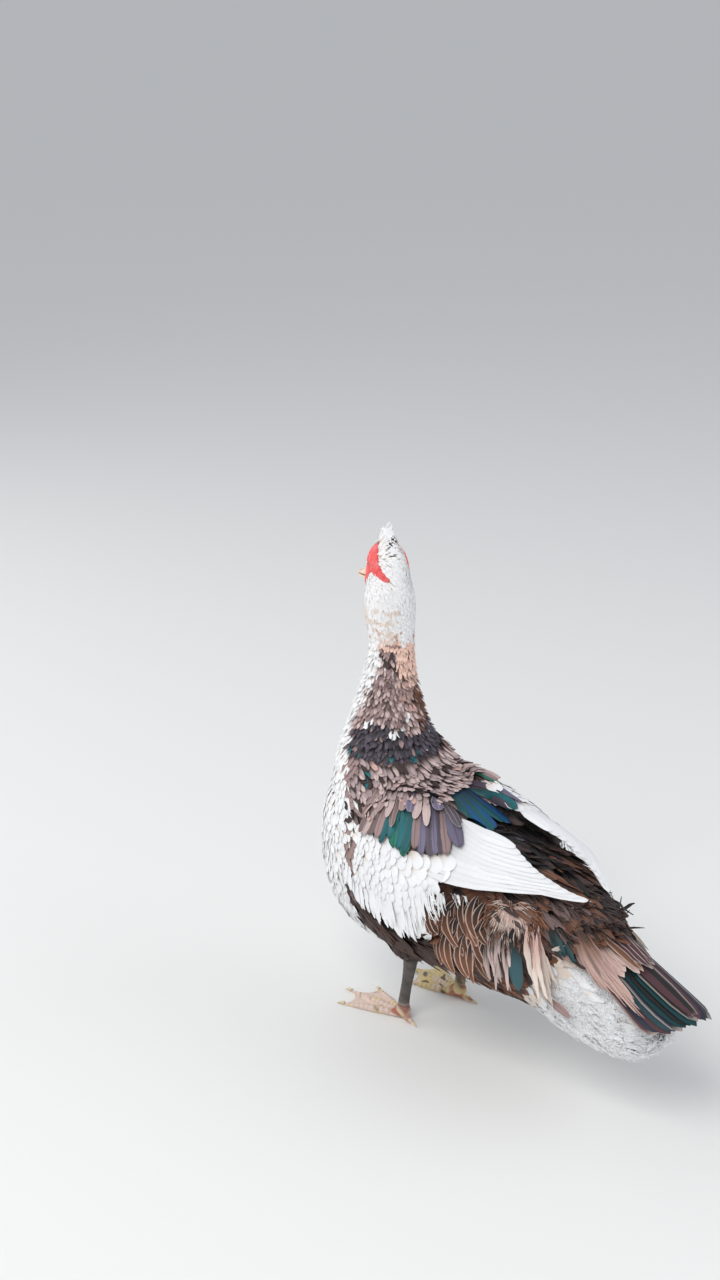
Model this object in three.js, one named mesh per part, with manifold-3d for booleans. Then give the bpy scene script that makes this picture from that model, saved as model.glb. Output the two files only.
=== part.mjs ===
// Muscovy duck, standing with its neck stretched up, at life size.
// Millimetres, +Z up. The duck faces -Y, its tail points to +Y and its left side is +X.
// The floor is z = 0. The solids are the outline of the plumage, out to the feather tips.
import * as THREE from 'three';
import { mergeVertices } from 'three/addons/utils/BufferGeometryUtils.js';
import Module from 'manifold-3d';

const wasm = await Module();
wasm.setup();

// Clearance that parted pieces keep to each other.
const GAP = 0.3;
// Reach of the blocks that cut the solids, well past the duck.
const FAR = 700;

// Trunk from breast to rump: half width, and height of back and belly above the floor.
// The breast closes in a rounded arc, whose middle lies above the trunk's.
const BREAST_DEPTH = 79;
const BREAST_CUT = -106;
const BREAST_SQUARENESS = 2.5;
const TRUNK_SQUARENESS = 2.45;
const TRUNK_SIDES = 24;
const BREAST_LIFT = 23.5;
const BREAST_NOSE = 0.12;
const BREAST_STEPS = 6;
const TRUNK_STEPS = 9;
const TRUNK_STATIONS = [
  { y: -174.5, half: 75.5, top: 257.5, belly: 69.5 },
  { y: -99, half: 77.5, top: 255.5, belly: 69.5 },
  { y: -63, half: 79, top: 248.5, belly: 70 },
  { y: -27, half: 79, top: 236, belly: 72 },
  { y: 18, half: 75.5, top: 223, belly: 75.5 },
  { y: 63, half: 68.5, top: 212.5, belly: 76.5 },
  { y: 108, half: 54, top: 200, belly: 75.5 },
  { y: 144, half: 34, top: 184.5, belly: 90 },
  { y: 160, half: 18, top: 176.5, belly: 135 },
];

// Neck, an upright column that flares into the shoulders.
const NECK_SIDES = 22;
const NECK_STEPS = 11;
const NECK_STATIONS = [
  { z: 202.5, half: 70, depth: 75.5, y: -97 },
  { z: 229.5, half: 66.5, depth: 66.5, y: -104.5 },
  { z: 257.5, half: 51.5, depth: 50.5, y: -118 },
  { z: 281, half: 39.5, depth: 41.5, y: -120.5 },
  { z: 304, half: 32.5, depth: 33.5, y: -120.5 },
  { z: 335, half: 24.5, depth: 25, y: -119 },
  { z: 362, half: 21.5, depth: 21.5, y: -116 },
  { z: 376, half: 23.5, depth: 22.5, y: -118 },
  { z: 390.5, half: 25, depth: 24.5, y: -119.5 },
  { z: 407, half: 25, depth: 25, y: -119.5 },
];
const NECK_FOOT_CUT = 263;
const NECK_MIDDLE_CUT = 329.5;
const NECK_TOP_CUT = 389.5;

// Soft feathers round the vent and under the tail.
const VENT_STATIONS = [
  { y: 63, half: 59.5, top: 180, belly: 79 },
  { y: 99, half: 56, top: 176.5, belly: 74 },
  { y: 135, half: 48.5, top: 167.5, belly: 65 },
  { y: 171, half: 40.5, top: 151, belly: 59.5 },
  { y: 200, half: 31.5, top: 135, belly: 63 },
  { y: 220.5, half: 19.8, top: 126, belly: 77.5 },
  { y: 228.5, half: 7.2, top: 115, belly: 93.5 },
];
const VENT_SIDES = 18;
const VENT_STEPS = 7;
const VENT_SQUARENESS = 2.2;
// The flesh tapers up to the tail root, and the plumage fills the space below and behind it.
const VENT_CUT_FOOT = { y: -10.8, z: 68.5 };
const VENT_CUT_HEAD = { y: 112.5, z: 193.5 };

// Front cover of the folded wing: coverts and secondaries that lie on the side of the trunk.
const WING_MIDDLE = 148.5;
const WING_BOTTOM = 72;
const WING_SQUARENESS = 2.6;
const WING_DEPTH = 23.5;
const WING_FRONT_SHARE = 0.2;
const WING_EDGE = 1.1;
const WING_STEPS = 8;
// Steps round the slab's lower edge over which it grows from a thin rim to its full depth.
const WING_RIM_STEPS = 2.5;
const WING_COVER_STATIONS = [
  { y: -109, half: 75.5, top: 228.5, inner: 57.5, lower: 176.5 },
  { y: -101, half: 79, top: 235, inner: 50.5, lower: 155 },
  { y: -81, half: 83, top: 248.5, inner: 41.5, lower: 137 },
  { y: -49.5, half: 85.5, top: 252, inner: 35, lower: 127 },
  { y: -18, half: 85.5, top: 247.5, inner: 29.5, lower: 124 },
  { y: 9, half: 84.5, top: 240.5, inner: 26, lower: 128 },
  { y: 29, half: 83, top: 233, inner: 23.5, lower: 137 },
];
// Blade of the flight feathers, lying over the rump. It is thickest halfway across.
const BLADE_FULLNESS = 0.7;
const WING_BLADE_STATIONS = [
  { y: 29.3, inner: 23.5, outer: 82, top: 228.5, edge: 194.5, thick: 8.1 },
  { y: 54, inner: 19.8, outer: 74, top: 225, edge: 198, thick: 7.2 },
  { y: 81, inner: 15.3, outer: 58.5, top: 218.5, edge: 203.5, thick: 5.4 },
  { y: 108, inner: 10.8, outer: 38.5, top: 210.5, edge: 204.5, thick: 4.1 },
  { y: 130.5, inner: 7.2, outer: 22.5, top: 203.5, edge: 200.5, thick: 2.7 },
  { y: 143, inner: 7.2, outer: 11.7, top: 199, edge: 198, thick: 1.8 },
];

// Tail fan, drooping behind the wing tips.
const TAIL_EDGE = 1.1;
const TAIL_STEPS = 8;
const TAIL_SQUARENESS = 4;
const TAIL_STATIONS = [
  { y: 115, half: 18, top: 185.5, drop: 2.7, thick: 19.8 },
  { y: 135, half: 24.5, top: 177.5, drop: 4.5, thick: 15.3 },
  { y: 166.5, half: 32.5, top: 164, drop: 7.2, thick: 9.9 },
  { y: 202.5, half: 41.5, top: 148.5, drop: 10.8, thick: 5.4 },
  { y: 236, half: 46, top: 135, drop: 12.6, thick: 3.6 },
  { y: 252, half: 38.5, top: 128.5, drop: 10.8, thick: 2.7 },
  { y: 259, half: 25, top: 125, drop: 5.4, thick: 2.2 },
];

// Head, turned to the duck's right, in its own frame about the neck's axis.
const HEAD_TURN = THREE.MathUtils.degToRad(-25);
const HEAD_PLACE = new THREE.Vector3(0, -119.5, 0);
const HEAD_STATIONS = [
  { z: 385, half: 24.5, depth: 24, y: 0 },
  { z: 400.5, half: 25, depth: 25, y: 0 },
  { z: 413, half: 23, depth: 27.5, y: -2.7 },
  { z: 423, half: 20.5, depth: 29, y: -5.4 },
  { z: 434, half: 19.3, depth: 29, y: -7.2 },
  { z: 443, half: 17.6, depth: 26.5, y: -7.2 },
  { z: 452, half: 14.4, depth: 22.5, y: -7.2 },
  { z: 461.5, half: 10.4, depth: 16.7, y: -7.6 },
  { z: 471.5, half: 5.9, depth: 9.5, y: -9 },
  { z: 479, half: 1.4, depth: 2.3, y: -9.9 },
];
const HEAD_SIDES = 18;
const HEAD_STEPS = 12;
const BILL_ROOM = { half: 12.6, margin: 1.5 };
const BILL_ROOT = { y: -26, z: 423, rx: 13.1, ry: 13.5, rz: 12.2 };
const EYE = { x: 16.6, y: -13.5, z: 432, radius: 5.4 };
const CREST_CUT = 447.5;
const FACE_SKIN = { y: -17.1, z: 429.5, ry: 17.1, rz: 16.2, thick: 2, inner: 5.5, reach: 36 };

// Bill: root at the face, tip forward and a little down. Each half is fullest near the gape line.
const BILL_SIDES = 12;
const BILL_STEPS = 7;
const BILL_SQUARENESS = 2.2;
const BILL_FULLEST = 0.3;
const BILL_LOWER_INSET = 0.7;
const BILL_STATIONS = [
  { y: -31.5, half: 10.6, top: 433, edge: 416.5, floor: 411 },
  { y: -41.5, half: 9.7, top: 426.5, edge: 414.5, floor: 409 },
  { y: -52, half: 9.5, top: 420.5, edge: 412, floor: 407.5 },
  { y: -63, half: 10.3, top: 416, edge: 410.5, floor: 407 },
  { y: -72, half: 9.5, top: 412.5, edge: 409, floor: 406 },
  { y: -77.5, half: 6.8, top: 410.5, edge: 407.5, floor: 406 },
  { y: -79.5, half: 3.1, top: 409, edge: 407, floor: 406 },
];

// Legs: the left foot stands a little ahead of the right one.
const LEGS = [
  { side: 'left', x: 34, ankle: -62, turn: 3 },
  { side: 'right', x: -32.5, ankle: -51.5, turn: -3 },
];
const SHANK_STATIONS = [
  { z: 15.3, rx: 5, ry: 6.1, dy: 0 },
  { z: 27, rx: 4.4, ry: 5.6, dy: 1.8 },
  { z: 47, rx: 4.5, ry: 5.9, dy: 5.4 },
  { z: 63, rx: 5.6, ry: 7.4, dy: 8.1 },
  { z: 75.5, rx: 6.7, ry: 8.8, dy: 9 },
];
const SHANK_SIDES = 10;
const SHANK_STEPS = 6;
const SHANK_TOP = 70;
const THIGH_TOP = 112;
const THIGH = { rx: 18, ry: 27, rz: 22.5, dy: 7.2, z: 88 };
const ANKLE = { y: 0, rx: 6.3, ry: 8.1, rz: 8.1, z: 9 };
const FOOT_SHANK_CUT = 16.2;
const TOES = [
  { angle: -21, length: 57.5, root: 4.1, tip: 2.2 },
  { angle: 1, length: 72, root: 4.5, tip: 2.3 },
  { angle: 22, length: 65, root: 4.3, tip: 2.2 },
];
const TOE_SIDES = 8;
const TOE_STEPS = 4;
const TOE_PAD = 0.1;
const TOE_END = 0.3;
const TOE_SINK = 0.82;
const TOE_RISE = 1.4;
const HALLUX = { angle: 168, length: 19.8, root: 3.1, tip: 1.7 };
const WEB_TOP = 2.3;
const WEB_BOTTOM = 0.7;
const WEB_REACH = 0.93;
const WEB_NOTCH = 0.8;

const WHITE = 0xe9e9e6;
const DARK = 0x3a2f30;
const MAUVE = 0x8d7c78;
const BILL_PINK = 0xe3c9bb;
const BILL_ORANGE = 0xd99a80;
const FACE_RED = 0xd8424a;
const IRIS = 0x9a7a3a;
const SHANK_GREY = 0x55524f;
const FOOT_YELLOW = 0xc9a94c;

// Smooth values between the rows of a station list, read by one of its keys.
function between(stations, key) {
  const names = Object.keys(stations[0]).filter((name) => name !== key);
  const rows = [...stations].sort((one, other) => one[key] - other[key]);
  const places = rows.map((row) => row[key]);
  const values = rows.flatMap((row) => names.map((name) => row[name]));
  const curve = new THREE.CubicInterpolant(places, values, names.length, new Float64Array(names.length));
  return (place) => {
    const row = curve.evaluate(place);
    return Object.fromEntries(names.map((name, i) => [name, row[i]]));
  };
}

const first = (stations) => stations[0];
const last = (stations) => stations[stations.length - 1];

function steps(from, to, count) {
  return Array.from({ length: count + 1 }, (_, i) => from + ((to - from) * i) / count);
}

// One turn of a rounded rectangle: 2 is an ellipse, more is squarer.
function roundTurn(sides, squareness, start = 0) {
  return steps(start, start + 2 * Math.PI, sides).slice(0, sides).map((angle) => {
    const c = Math.cos(angle);
    const s = Math.sin(angle);
    return [
      Math.sign(c) * Math.abs(c) ** (2 / squareness),
      Math.sign(s) * Math.abs(s) ** (2 / squareness),
    ];
  });
}

// Closed skin over a row of rings of equal count, with a fan over each end.
function loft(rings) {
  const sides = rings[0].length;
  const points = rings.flat();
  const index = [];
  for (let r = 0; r < rings.length - 1; r++) {
    for (let s = 0; s < sides; s++) {
      const a = r * sides + s;
      const b = r * sides + ((s + 1) % sides);
      index.push(a, b, b + sides, a, b + sides, a + sides);
    }
  }
  const lastRing = (rings.length - 1) * sides;
  const middle = (ring) => ring.reduce((sum, p) => sum.add(p), new THREE.Vector3()).divideScalar(sides);
  points.push(middle(rings[0]), middle(rings[rings.length - 1]));
  for (let s = 0; s < sides; s++) {
    const next = (s + 1) % sides;
    index.push(points.length - 2, next, s);
    index.push(points.length - 1, lastRing + s, lastRing + next);
  }
  const geometry = new THREE.BufferGeometry().setFromPoints(points);
  geometry.setIndex(index);
  return geometry;
}

function signedVolume(geometry) {
  const p = geometry.getAttribute('position');
  const corners = [0, 1, 2].map(() => new THREE.Vector3());
  let sum = 0;
  for (let i = 0; i < geometry.index.count; i += 3) {
    corners.forEach((corner, k) => corner.fromBufferAttribute(p, geometry.index.getX(i + k)));
    sum += corners[0].dot(corners[1].clone().cross(corners[2]));
  }
  return sum / 6;
}

function toSolid(source) {
  const bare = source.clone();
  bare.deleteAttribute('normal');
  bare.deleteAttribute('uv');
  const merged = mergeVertices(bare, 1e-4);
  const corners = Array.from(merged.index.array);
  const triangles = signedVolume(merged) < 0 ? corners.reverse() : corners;
  return new wasm.Manifold(new wasm.Mesh({
    numProp: 3,
    vertProperties: new Float32Array(merged.getAttribute('position').array),
    triVerts: new Uint32Array(triangles),
  }));
}

function toGeometry(solid) {
  const { vertProperties, triVerts } = solid.getMesh();
  const geometry = new THREE.BufferGeometry();
  geometry.setAttribute('position', new THREE.BufferAttribute(new Float32Array(vertProperties), 3));
  geometry.setIndex(Array.from(triVerts));
  geometry.computeVertexNormals();
  return geometry;
}

function ball({ x = 0, y, z, rx, ry, rz }, extra = 0, across = 24, down = 16) {
  const geometry = new THREE.SphereGeometry(1, across, down);
  geometry.rotateX(Math.PI / 2);
  geometry.scale(rx + extra, ry + extra, rz + extra);
  geometry.translate(x, y, z);
  return toSolid(geometry);
}

function block(low, high) {
  const size = high.map((value, i) => value - low[i]);
  const geometry = new THREE.BoxGeometry(...size);
  geometry.translate(...low.map((value, i) => value + size[i] / 2));
  return toSolid(geometry);
}

const above = (z) => block([-FAR, -FAR, z + GAP / 2], [FAR, FAR, FAR]);
const below = (z) => block([-FAR, -FAR, -FAR], [FAR, FAR, z - GAP / 2]);

// Everything below and behind a line that leans back, seen from the side.
function behindLean(foot, head, offset) {
  const lean = Math.atan2(head.y - foot.y, head.z - foot.z);
  const geometry = new THREE.BoxGeometry(FAR, FAR, FAR);
  geometry.translate(0, FAR / 2 + offset, 0);
  geometry.rotateX(-lean);
  geometry.translate(0, foot.y, foot.z);
  return toSolid(geometry);
}

// Trunk sections stand across the duck. The breast end closes in a rounded arc.
function trunkSolid(extra) {
  const at = between(TRUNK_STATIONS, 'y');
  const turn = roundTurn(TRUNK_SIDES, TRUNK_SQUARENESS);
  const front = first(TRUNK_STATIONS).y + BREAST_DEPTH;
  const round = steps(0, Math.PI / 2, BREAST_STEPS).map((angle) => front - BREAST_DEPTH * Math.cos(angle));
  const straight = steps(front, last(TRUNK_STATIONS).y, TRUNK_STEPS).slice(1);
  const rings = [...round, ...straight].map((y, i) => {
    const row = at(y);
    const reach = Math.min(1, Math.max(0, (front - y) / BREAST_DEPTH));
    const close = i === 0 ? BREAST_NOSE : (1 - reach ** BREAST_SQUARENESS) ** (1 / BREAST_SQUARENESS);
    const middle = (row.top + row.belly) / 2 + BREAST_LIFT * reach;
    const up = (row.top - middle) * close + extra;
    const down = (middle - row.belly) * close + extra;
    const shift = i === 0 ? -extra : 0;
    return turn.map(([c, s]) => new THREE.Vector3(
      (row.half * close + extra) * c, y + shift, middle + (s > 0 ? up : down) * s));
  });
  return toSolid(loft(rings));
}

function ventSolid() {
  const at = between(VENT_STATIONS, 'y');
  const turn = roundTurn(VENT_SIDES, VENT_SQUARENESS);
  const rings = steps(first(VENT_STATIONS).y, last(VENT_STATIONS).y, VENT_STEPS).map((y) => {
    const row = at(y);
    const middle = (row.top + row.belly) / 2;
    return turn.map(([c, s]) => new THREE.Vector3(
      row.half * c, y, middle + ((row.top - row.belly) / 2) * s));
  });
  return toSolid(loft(rings));
}

// Level sections one above the other, for the neck and the head.
function column(stations, sides, count, extra = 0) {
  const at = between(stations, 'z');
  const turn = roundTurn(sides, 2);
  return toSolid(loft(steps(first(stations).z, last(stations).z, count).map((z) => {
    const row = at(z);
    return turn.map(([c, s]) => new THREE.Vector3(
      (row.half + extra) * c, row.y + (row.depth + extra) * s, z));
  })));
}

// Front cover of the left wing, a curved slab between two edges of one rounded section.
function wingCover() {
  const at = between(WING_COVER_STATIONS, 'y');
  const power = WING_SQUARENESS / 2;
  const rings = steps(first(WING_COVER_STATIONS).y, last(WING_COVER_STATIONS).y, WING_STEPS).map((y, i) => {
    const row = at(y);
    const up = row.top - WING_MIDDLE;
    const down = WING_MIDDLE - WING_BOTTOM;
    const fromAngle = Math.acos((row.inner / row.half) ** power);
    const drop = (row.lower - WING_MIDDLE) / (row.lower > WING_MIDDLE ? up : down);
    const toAngle = Math.sign(drop) * Math.asin(Math.abs(drop) ** power);
    const point = (angle, inward) => {
      const c = Math.cos(angle) ** (1 / power);
      const s = Math.sign(angle) * Math.abs(Math.sin(angle)) ** (1 / power);
      const height = s > 0 ? up : down;
      return new THREE.Vector3((row.half - inward) * c, y, WING_MIDDLE + (height - inward) * s);
    };
    const depth = WING_DEPTH * (i === 0 ? WING_FRONT_SHARE : 1);
    const outside = steps(fromAngle, toAngle, 10).map((angle) => point(angle, 0));
    const inside = steps(toAngle, fromAngle, 8).map((angle, k) => {
      const edge = Math.min(1, k / WING_RIM_STEPS);
      return point(angle, WING_EDGE + (depth - WING_EDGE) * edge);
    });
    return [...outside, ...inside];
  });
  return toSolid(loft(rings));
}

// Blade of flight feathers: an arched plate from the midline out to the wing's lower edge.
function wingBlade() {
  const at = between(WING_BLADE_STATIONS, 'y');
  const rings = steps(first(WING_BLADE_STATIONS).y, last(WING_BLADE_STATIONS).y, WING_STEPS).map((y) => {
    const row = at(y);
    const point = (share, inward) => new THREE.Vector3(
      row.inner + (row.outer - row.inner) * share, y,
      row.top - (row.top - row.edge) * share ** 2 - inward);
    const swell = (share) => Math.sin(Math.PI * (0.5 + BLADE_FULLNESS * (share - 0.5)));
    const thickness = (share) => WING_EDGE + (row.thick - WING_EDGE) * swell(share);
    const top = steps(0, 1, 8).map((share) => point(share, 0));
    const under = steps(1, 0, 8).map((share) => point(share, thickness(share)));
    return [...top, ...under];
  });
  return toSolid(loft(rings));
}

function tailFan(extra) {
  const at = between(TAIL_STATIONS, 'y');
  const rings = steps(first(TAIL_STATIONS).y, last(TAIL_STATIONS).y, TAIL_STEPS).map((y) => {
    const row = at(y);
    const point = (share, inward) => new THREE.Vector3(
      (row.half + extra) * share, y, row.top - row.drop * share ** 2 - inward);
    const top = steps(-1, 1, 8).map((share) => point(share, -extra));
    const under = steps(1, -1, 8).map((share) => point(
      share, TAIL_EDGE + (row.thick - TAIL_EDGE) * (1 - share ** TAIL_SQUARENESS) + extra));
    return [...top, ...under];
  });
  return toSolid(loft(rings));
}

const mirrored = (solid) => solid.mirror([1, 0, 0]);

const duck = new THREE.Group();

function addNode(name, solid, color, roughness, parent = duck) {
  const material = new THREE.MeshStandardMaterial({ color, roughness, metalness: 0 });
  const mesh = new THREE.Mesh(toGeometry(solid), material);
  mesh.name = name;
  parent.add(mesh);
}

// Tail first, because the trunk and the vent are cut back to clear it.
const tail = tailFan(0);
const tailRoom = tailFan(GAP);
addNode('tail', tail.intersect(block([-FAR, first(TAIL_STATIONS).y + GAP, -FAR], [FAR, FAR, FAR])), DARK, 0.55);

const neck = column(NECK_STATIONS, NECK_SIDES, NECK_STEPS);
const body = trunkSolid(0).add(neck);
const bodyAndVent = body.add(ventSolid()).subtract(tailRoom);
const ventSide = behindLean(VENT_CUT_FOOT, VENT_CUT_HEAD, GAP / 2);
const fleshSide = behindLean(VENT_CUT_FOOT, VENT_CUT_HEAD, -GAP / 2);
const flesh = bodyAndVent.subtract(fleshSide);
addNode('vent_plumage', bodyAndVent.intersect(ventSide), WHITE, 0.85);

// The thighs are feathered, and only their lower ends show below the belly.
const thighBall = (leg, extra) => ball({ ...THIGH, x: leg.x, y: leg.ankle + THIGH.dy }, extra, 14, 8);
const thighs = LEGS.map((leg) => thighBall(leg, 0));
const thighRooms = LEGS.map((leg) => thighBall(leg, GAP));
const breastSide = block([-FAR, -FAR, -FAR], [FAR, BREAST_CUT - GAP / 2, FAR]);
const backSide = block([-FAR, BREAST_CUT + GAP / 2, -FAR], [FAR, FAR, FAR]);
const belowNeck = flesh.intersect(below(NECK_FOOT_CUT)).subtract(thighRooms[0]).subtract(thighRooms[1]);
addNode('breast', belowNeck.intersect(breastSide), WHITE, 0.85);
addNode('trunk', belowNeck.intersect(backSide), MAUVE, 0.8);
addNode('neck_lower', flesh.intersect(above(NECK_FOOT_CUT)).intersect(below(NECK_MIDDLE_CUT)), MAUVE, 0.8);
addNode('neck_upper', flesh.intersect(above(NECK_MIDDLE_CUT)).intersect(below(NECK_TOP_CUT)), MAUVE, 0.8);

// Wings are cut back to the trunk, and the right one mirrors the left one.
const trunkRoom = trunkSolid(GAP).add(column(NECK_STATIONS, NECK_SIDES, NECK_STEPS, GAP)).add(tailRoom);
const cover = wingCover().subtract(trunkRoom);
const blade = wingBlade().subtract(trunkRoom);
addNode('wing_left_cover', cover, WHITE, 0.75);
addNode('wing_right_cover', mirrored(cover), WHITE, 0.75);
addNode('wing_left_flight', blade, WHITE, 0.7);
addNode('wing_right_flight', mirrored(blade), WHITE, 0.7);

// Head in its own turned group.
const headGroup = new THREE.Group();
headGroup.position.copy(HEAD_PLACE);
headGroup.rotation.z = HEAD_TURN;
duck.add(headGroup);

function headSolid(extra) {
  return column(HEAD_STATIONS, HEAD_SIDES, HEAD_STEPS, extra).add(ball(BILL_ROOT, extra, 14, 9));
}

function eyeBall(sign, extra) {
  const { x, y, z, radius } = EYE;
  return ball({ x: sign * x, y, z, rx: radius, ry: radius, rz: radius }, extra, 12, 7);
}

function billSolid(upperKey, lowerKey, inset) {
  const at = between(BILL_STATIONS, 'y');
  const turn = roundTurn(BILL_SIDES, BILL_SQUARENESS);
  const rings = steps(last(BILL_STATIONS).y, first(BILL_STATIONS).y, BILL_STEPS).map((y) => {
    const row = at(y);
    const high = row[upperKey] - (upperKey === 'edge' ? GAP : 0);
    const rise = upperKey === 'top' ? BILL_FULLEST : 1 - BILL_FULLEST;
    const middle = row[lowerKey] + (high - row[lowerKey]) * rise;
    return turn.map(([c, s]) => new THREE.Vector3(
      (row.half - inset) * c, y, middle + (s > 0 ? high - middle : middle - row[lowerKey]) * s));
  });
  return toSolid(loft(rings));
}

const billUpper = billSolid('top', 'edge', 0);
const billLower = billSolid('edge', 'floor', BILL_LOWER_INSET);
const neckTop = above(NECK_TOP_CUT);
const eyeRooms = eyeBall(1, GAP).add(eyeBall(-1, GAP));
const billRoot = first(BILL_STATIONS);
const billRoom = block(
  [-BILL_ROOM.half, -FAR, billRoot.floor - BILL_ROOM.margin],
  [BILL_ROOM.half, billRoot.y + GAP, billRoot.top + BILL_ROOM.margin]);
const headCore = headSolid(0).subtract(eyeRooms).subtract(billRoom).intersect(neckTop);
addNode('head', headCore.intersect(below(CREST_CUT)), WHITE, 0.8, headGroup);
addNode('crest', headCore.intersect(above(CREST_CUT)), WHITE, 0.85, headGroup);
addNode('bill_upper', billUpper, BILL_PINK, 0.45, headGroup);
addNode('bill_lower', billLower, BILL_ORANGE, 0.45, headGroup);

// Bare red skin round each eye, a raised patch that reaches the bill's root.
function faceSkin(sign) {
  const rim = new THREE.CylinderGeometry(1, 1, FACE_SKIN.reach, 16);
  rim.rotateZ(Math.PI / 2);
  rim.scale(1, FACE_SKIN.ry, FACE_SKIN.rz);
  rim.translate(sign * (FACE_SKIN.reach / 2 + FACE_SKIN.inner), FACE_SKIN.y, FACE_SKIN.z);
  const patch = headSolid(FACE_SKIN.thick).intersect(toSolid(rim));
  const behindBill = block([-FAR, billRoot.y + 3 * GAP, -FAR], [FAR, FAR, FAR]);
  return patch.subtract(headSolid(GAP)).subtract(eyeBall(sign, GAP)).intersect(behindBill);
}
addNode('face_skin_left', faceSkin(1), FACE_RED, 0.5, headGroup);
addNode('face_skin_right', faceSkin(-1), FACE_RED, 0.5, headGroup);
addNode('eye_left', eyeBall(1, 0), IRIS, 0.1, headGroup);
addNode('eye_right', eyeBall(-1, 0), IRIS, 0.1, headGroup);

// A toe is a tapering tube with low joint pads. Its outer half rests on a narrow flat underneath.
function toe({ angle, length, root, tip }) {
  const way = THREE.MathUtils.degToRad(angle);
  const turn = roundTurn(TOE_SIDES, 2, Math.PI / TOE_SIDES);
  const rings = steps(0, 1, TOE_STEPS).map((share) => {
    const pad = 1 + TOE_PAD * Math.cos(share * 4 * Math.PI);
    const radius = (root + (tip - root) * share) * pad * (share === 1 ? TOE_END : 1);
    const height = radius * TOE_SINK + (1 - share) ** 3 * TOE_RISE;
    return turn.map(([c, s]) => new THREE.Vector3(
      Math.sin(way) * length * share + Math.cos(way) * radius * c,
      -Math.cos(way) * length * share + Math.sin(way) * radius * c,
      Math.max(0, height + radius * s)));
  });
  return toSolid(loft(rings));
}

// The web spans the three front toes with a hollow edge between their tips.
function web() {
  const tips = TOES.map(({ angle, length }) => {
    const way = THREE.MathUtils.degToRad(angle);
    return new THREE.Vector2(Math.sin(way), -Math.cos(way)).multiplyScalar(length * WEB_REACH);
  });
  const outline = new THREE.Shape();
  outline.moveTo(0, 2.7);
  outline.lineTo(tips[0].x, tips[0].y);
  tips.slice(1).forEach((tip, i) => {
    const hollow = tips[i].clone().add(tip).multiplyScalar(0.5 * WEB_NOTCH);
    outline.quadraticCurveTo(hollow.x, hollow.y, tip.x, tip.y);
  });
  outline.closePath();
  const geometry = new THREE.ExtrudeGeometry(outline, {
    depth: WEB_TOP - WEB_BOTTOM, bevelEnabled: false, curveSegments: 6 });
  geometry.translate(0, 0, WEB_BOTTOM);
  return toSolid(geometry);
}

function shankSolid(extra) {
  const at = between(SHANK_STATIONS, 'z');
  const turn = roundTurn(SHANK_SIDES, 2);
  return toSolid(loft(steps(first(SHANK_STATIONS).z, last(SHANK_STATIONS).z, SHANK_STEPS).map((z) => {
    const row = at(z);
    return turn.map(([c, s]) => new THREE.Vector3(
      (row.rx + extra) * c, row.dy + (row.ry + extra) * s, z));
  })));
}

LEGS.forEach((leg, i) => {
  const sign = leg.x > 0 ? 1 : -1;
  const place = (solid) => (sign > 0 ? solid : mirrored(solid))
    .rotate([0, 0, leg.turn])
    .translate([leg.x, leg.ankle, 0]);
  const shank = place(shankSolid(0));
  const shankRoom = place(shankSolid(GAP)).intersect(below(SHANK_TOP + GAP));
  const thigh = thighs[i].subtract(shankRoom).intersect(below(THIGH_TOP));
  addNode(`thigh_${leg.side}`, thigh, DARK, 0.8);
  const bare = shank.intersect(above(FOOT_SHANK_CUT)).intersect(below(SHANK_TOP));
  addNode(`shank_${leg.side}`, bare, SHANK_GREY, 0.55);
  const ankle = ball(ANKLE, 0, 10, 6);
  const joined = [...TOES, HALLUX].reduce((sum, one) => sum.add(toe(one)), ankle.add(web()));
  const stub = shankSolid(0).intersect(below(FOOT_SHANK_CUT + 2));
  const foot = place(joined.add(stub)).intersect(below(FOOT_SHANK_CUT)).intersect(above(-GAP / 2));
  addNode(`foot_${leg.side}`, foot, FOOT_YELLOW, 0.5);
});

// The origin is the floor point below the middle of the whole duck.
duck.updateMatrixWorld(true);
const box = new THREE.Box3().setFromObject(duck);
duck.position.set(-(box.min.x + box.max.x) / 2, -(box.min.y + box.max.y) / 2, -box.min.z);
duck.updateMatrixWorld(true);

export default duck;
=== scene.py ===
import math
from contextlib import contextmanager

import bpy
import numpy as np
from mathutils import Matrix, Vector
from mathutils.bvhtree import BVHTree


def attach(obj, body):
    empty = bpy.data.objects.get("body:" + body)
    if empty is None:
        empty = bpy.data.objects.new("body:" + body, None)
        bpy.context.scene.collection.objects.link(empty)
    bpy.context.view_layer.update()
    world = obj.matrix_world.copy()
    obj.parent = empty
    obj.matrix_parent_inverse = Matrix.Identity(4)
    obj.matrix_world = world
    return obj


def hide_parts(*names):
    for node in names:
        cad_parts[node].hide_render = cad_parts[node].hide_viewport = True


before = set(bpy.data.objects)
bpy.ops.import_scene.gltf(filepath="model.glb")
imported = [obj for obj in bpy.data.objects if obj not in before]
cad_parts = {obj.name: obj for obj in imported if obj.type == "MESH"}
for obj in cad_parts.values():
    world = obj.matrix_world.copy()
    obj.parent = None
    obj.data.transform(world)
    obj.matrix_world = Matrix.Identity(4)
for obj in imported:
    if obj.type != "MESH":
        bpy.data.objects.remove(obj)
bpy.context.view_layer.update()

# Skin: one thin hide that covers the flesh from the face to the root of the tail.
# It grows over the flesh's own solids, is drawn in by the depth of the feathers, and is then smoothed,
# so that no seam is left. It also fills out the folded wings, the crest and the soft vent feathers.
FLESH = ("breast", "trunk", "neck_lower", "neck_upper", "head", "thigh_left", "thigh_right")
PADDING = ("vent_plumage", "wing_left_cover", "wing_right_cover", "crest")
SKIN_GRAIN = 0.0022
DEEPEST_COAT = 0.014


def pick(*objects):
    """Selects these objects alone, and makes the last one active."""
    bpy.ops.object.select_all(action="DESELECT")
    for one in objects:
        one.select_set(True)
    bpy.context.view_layer.objects.active = objects[-1]


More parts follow.
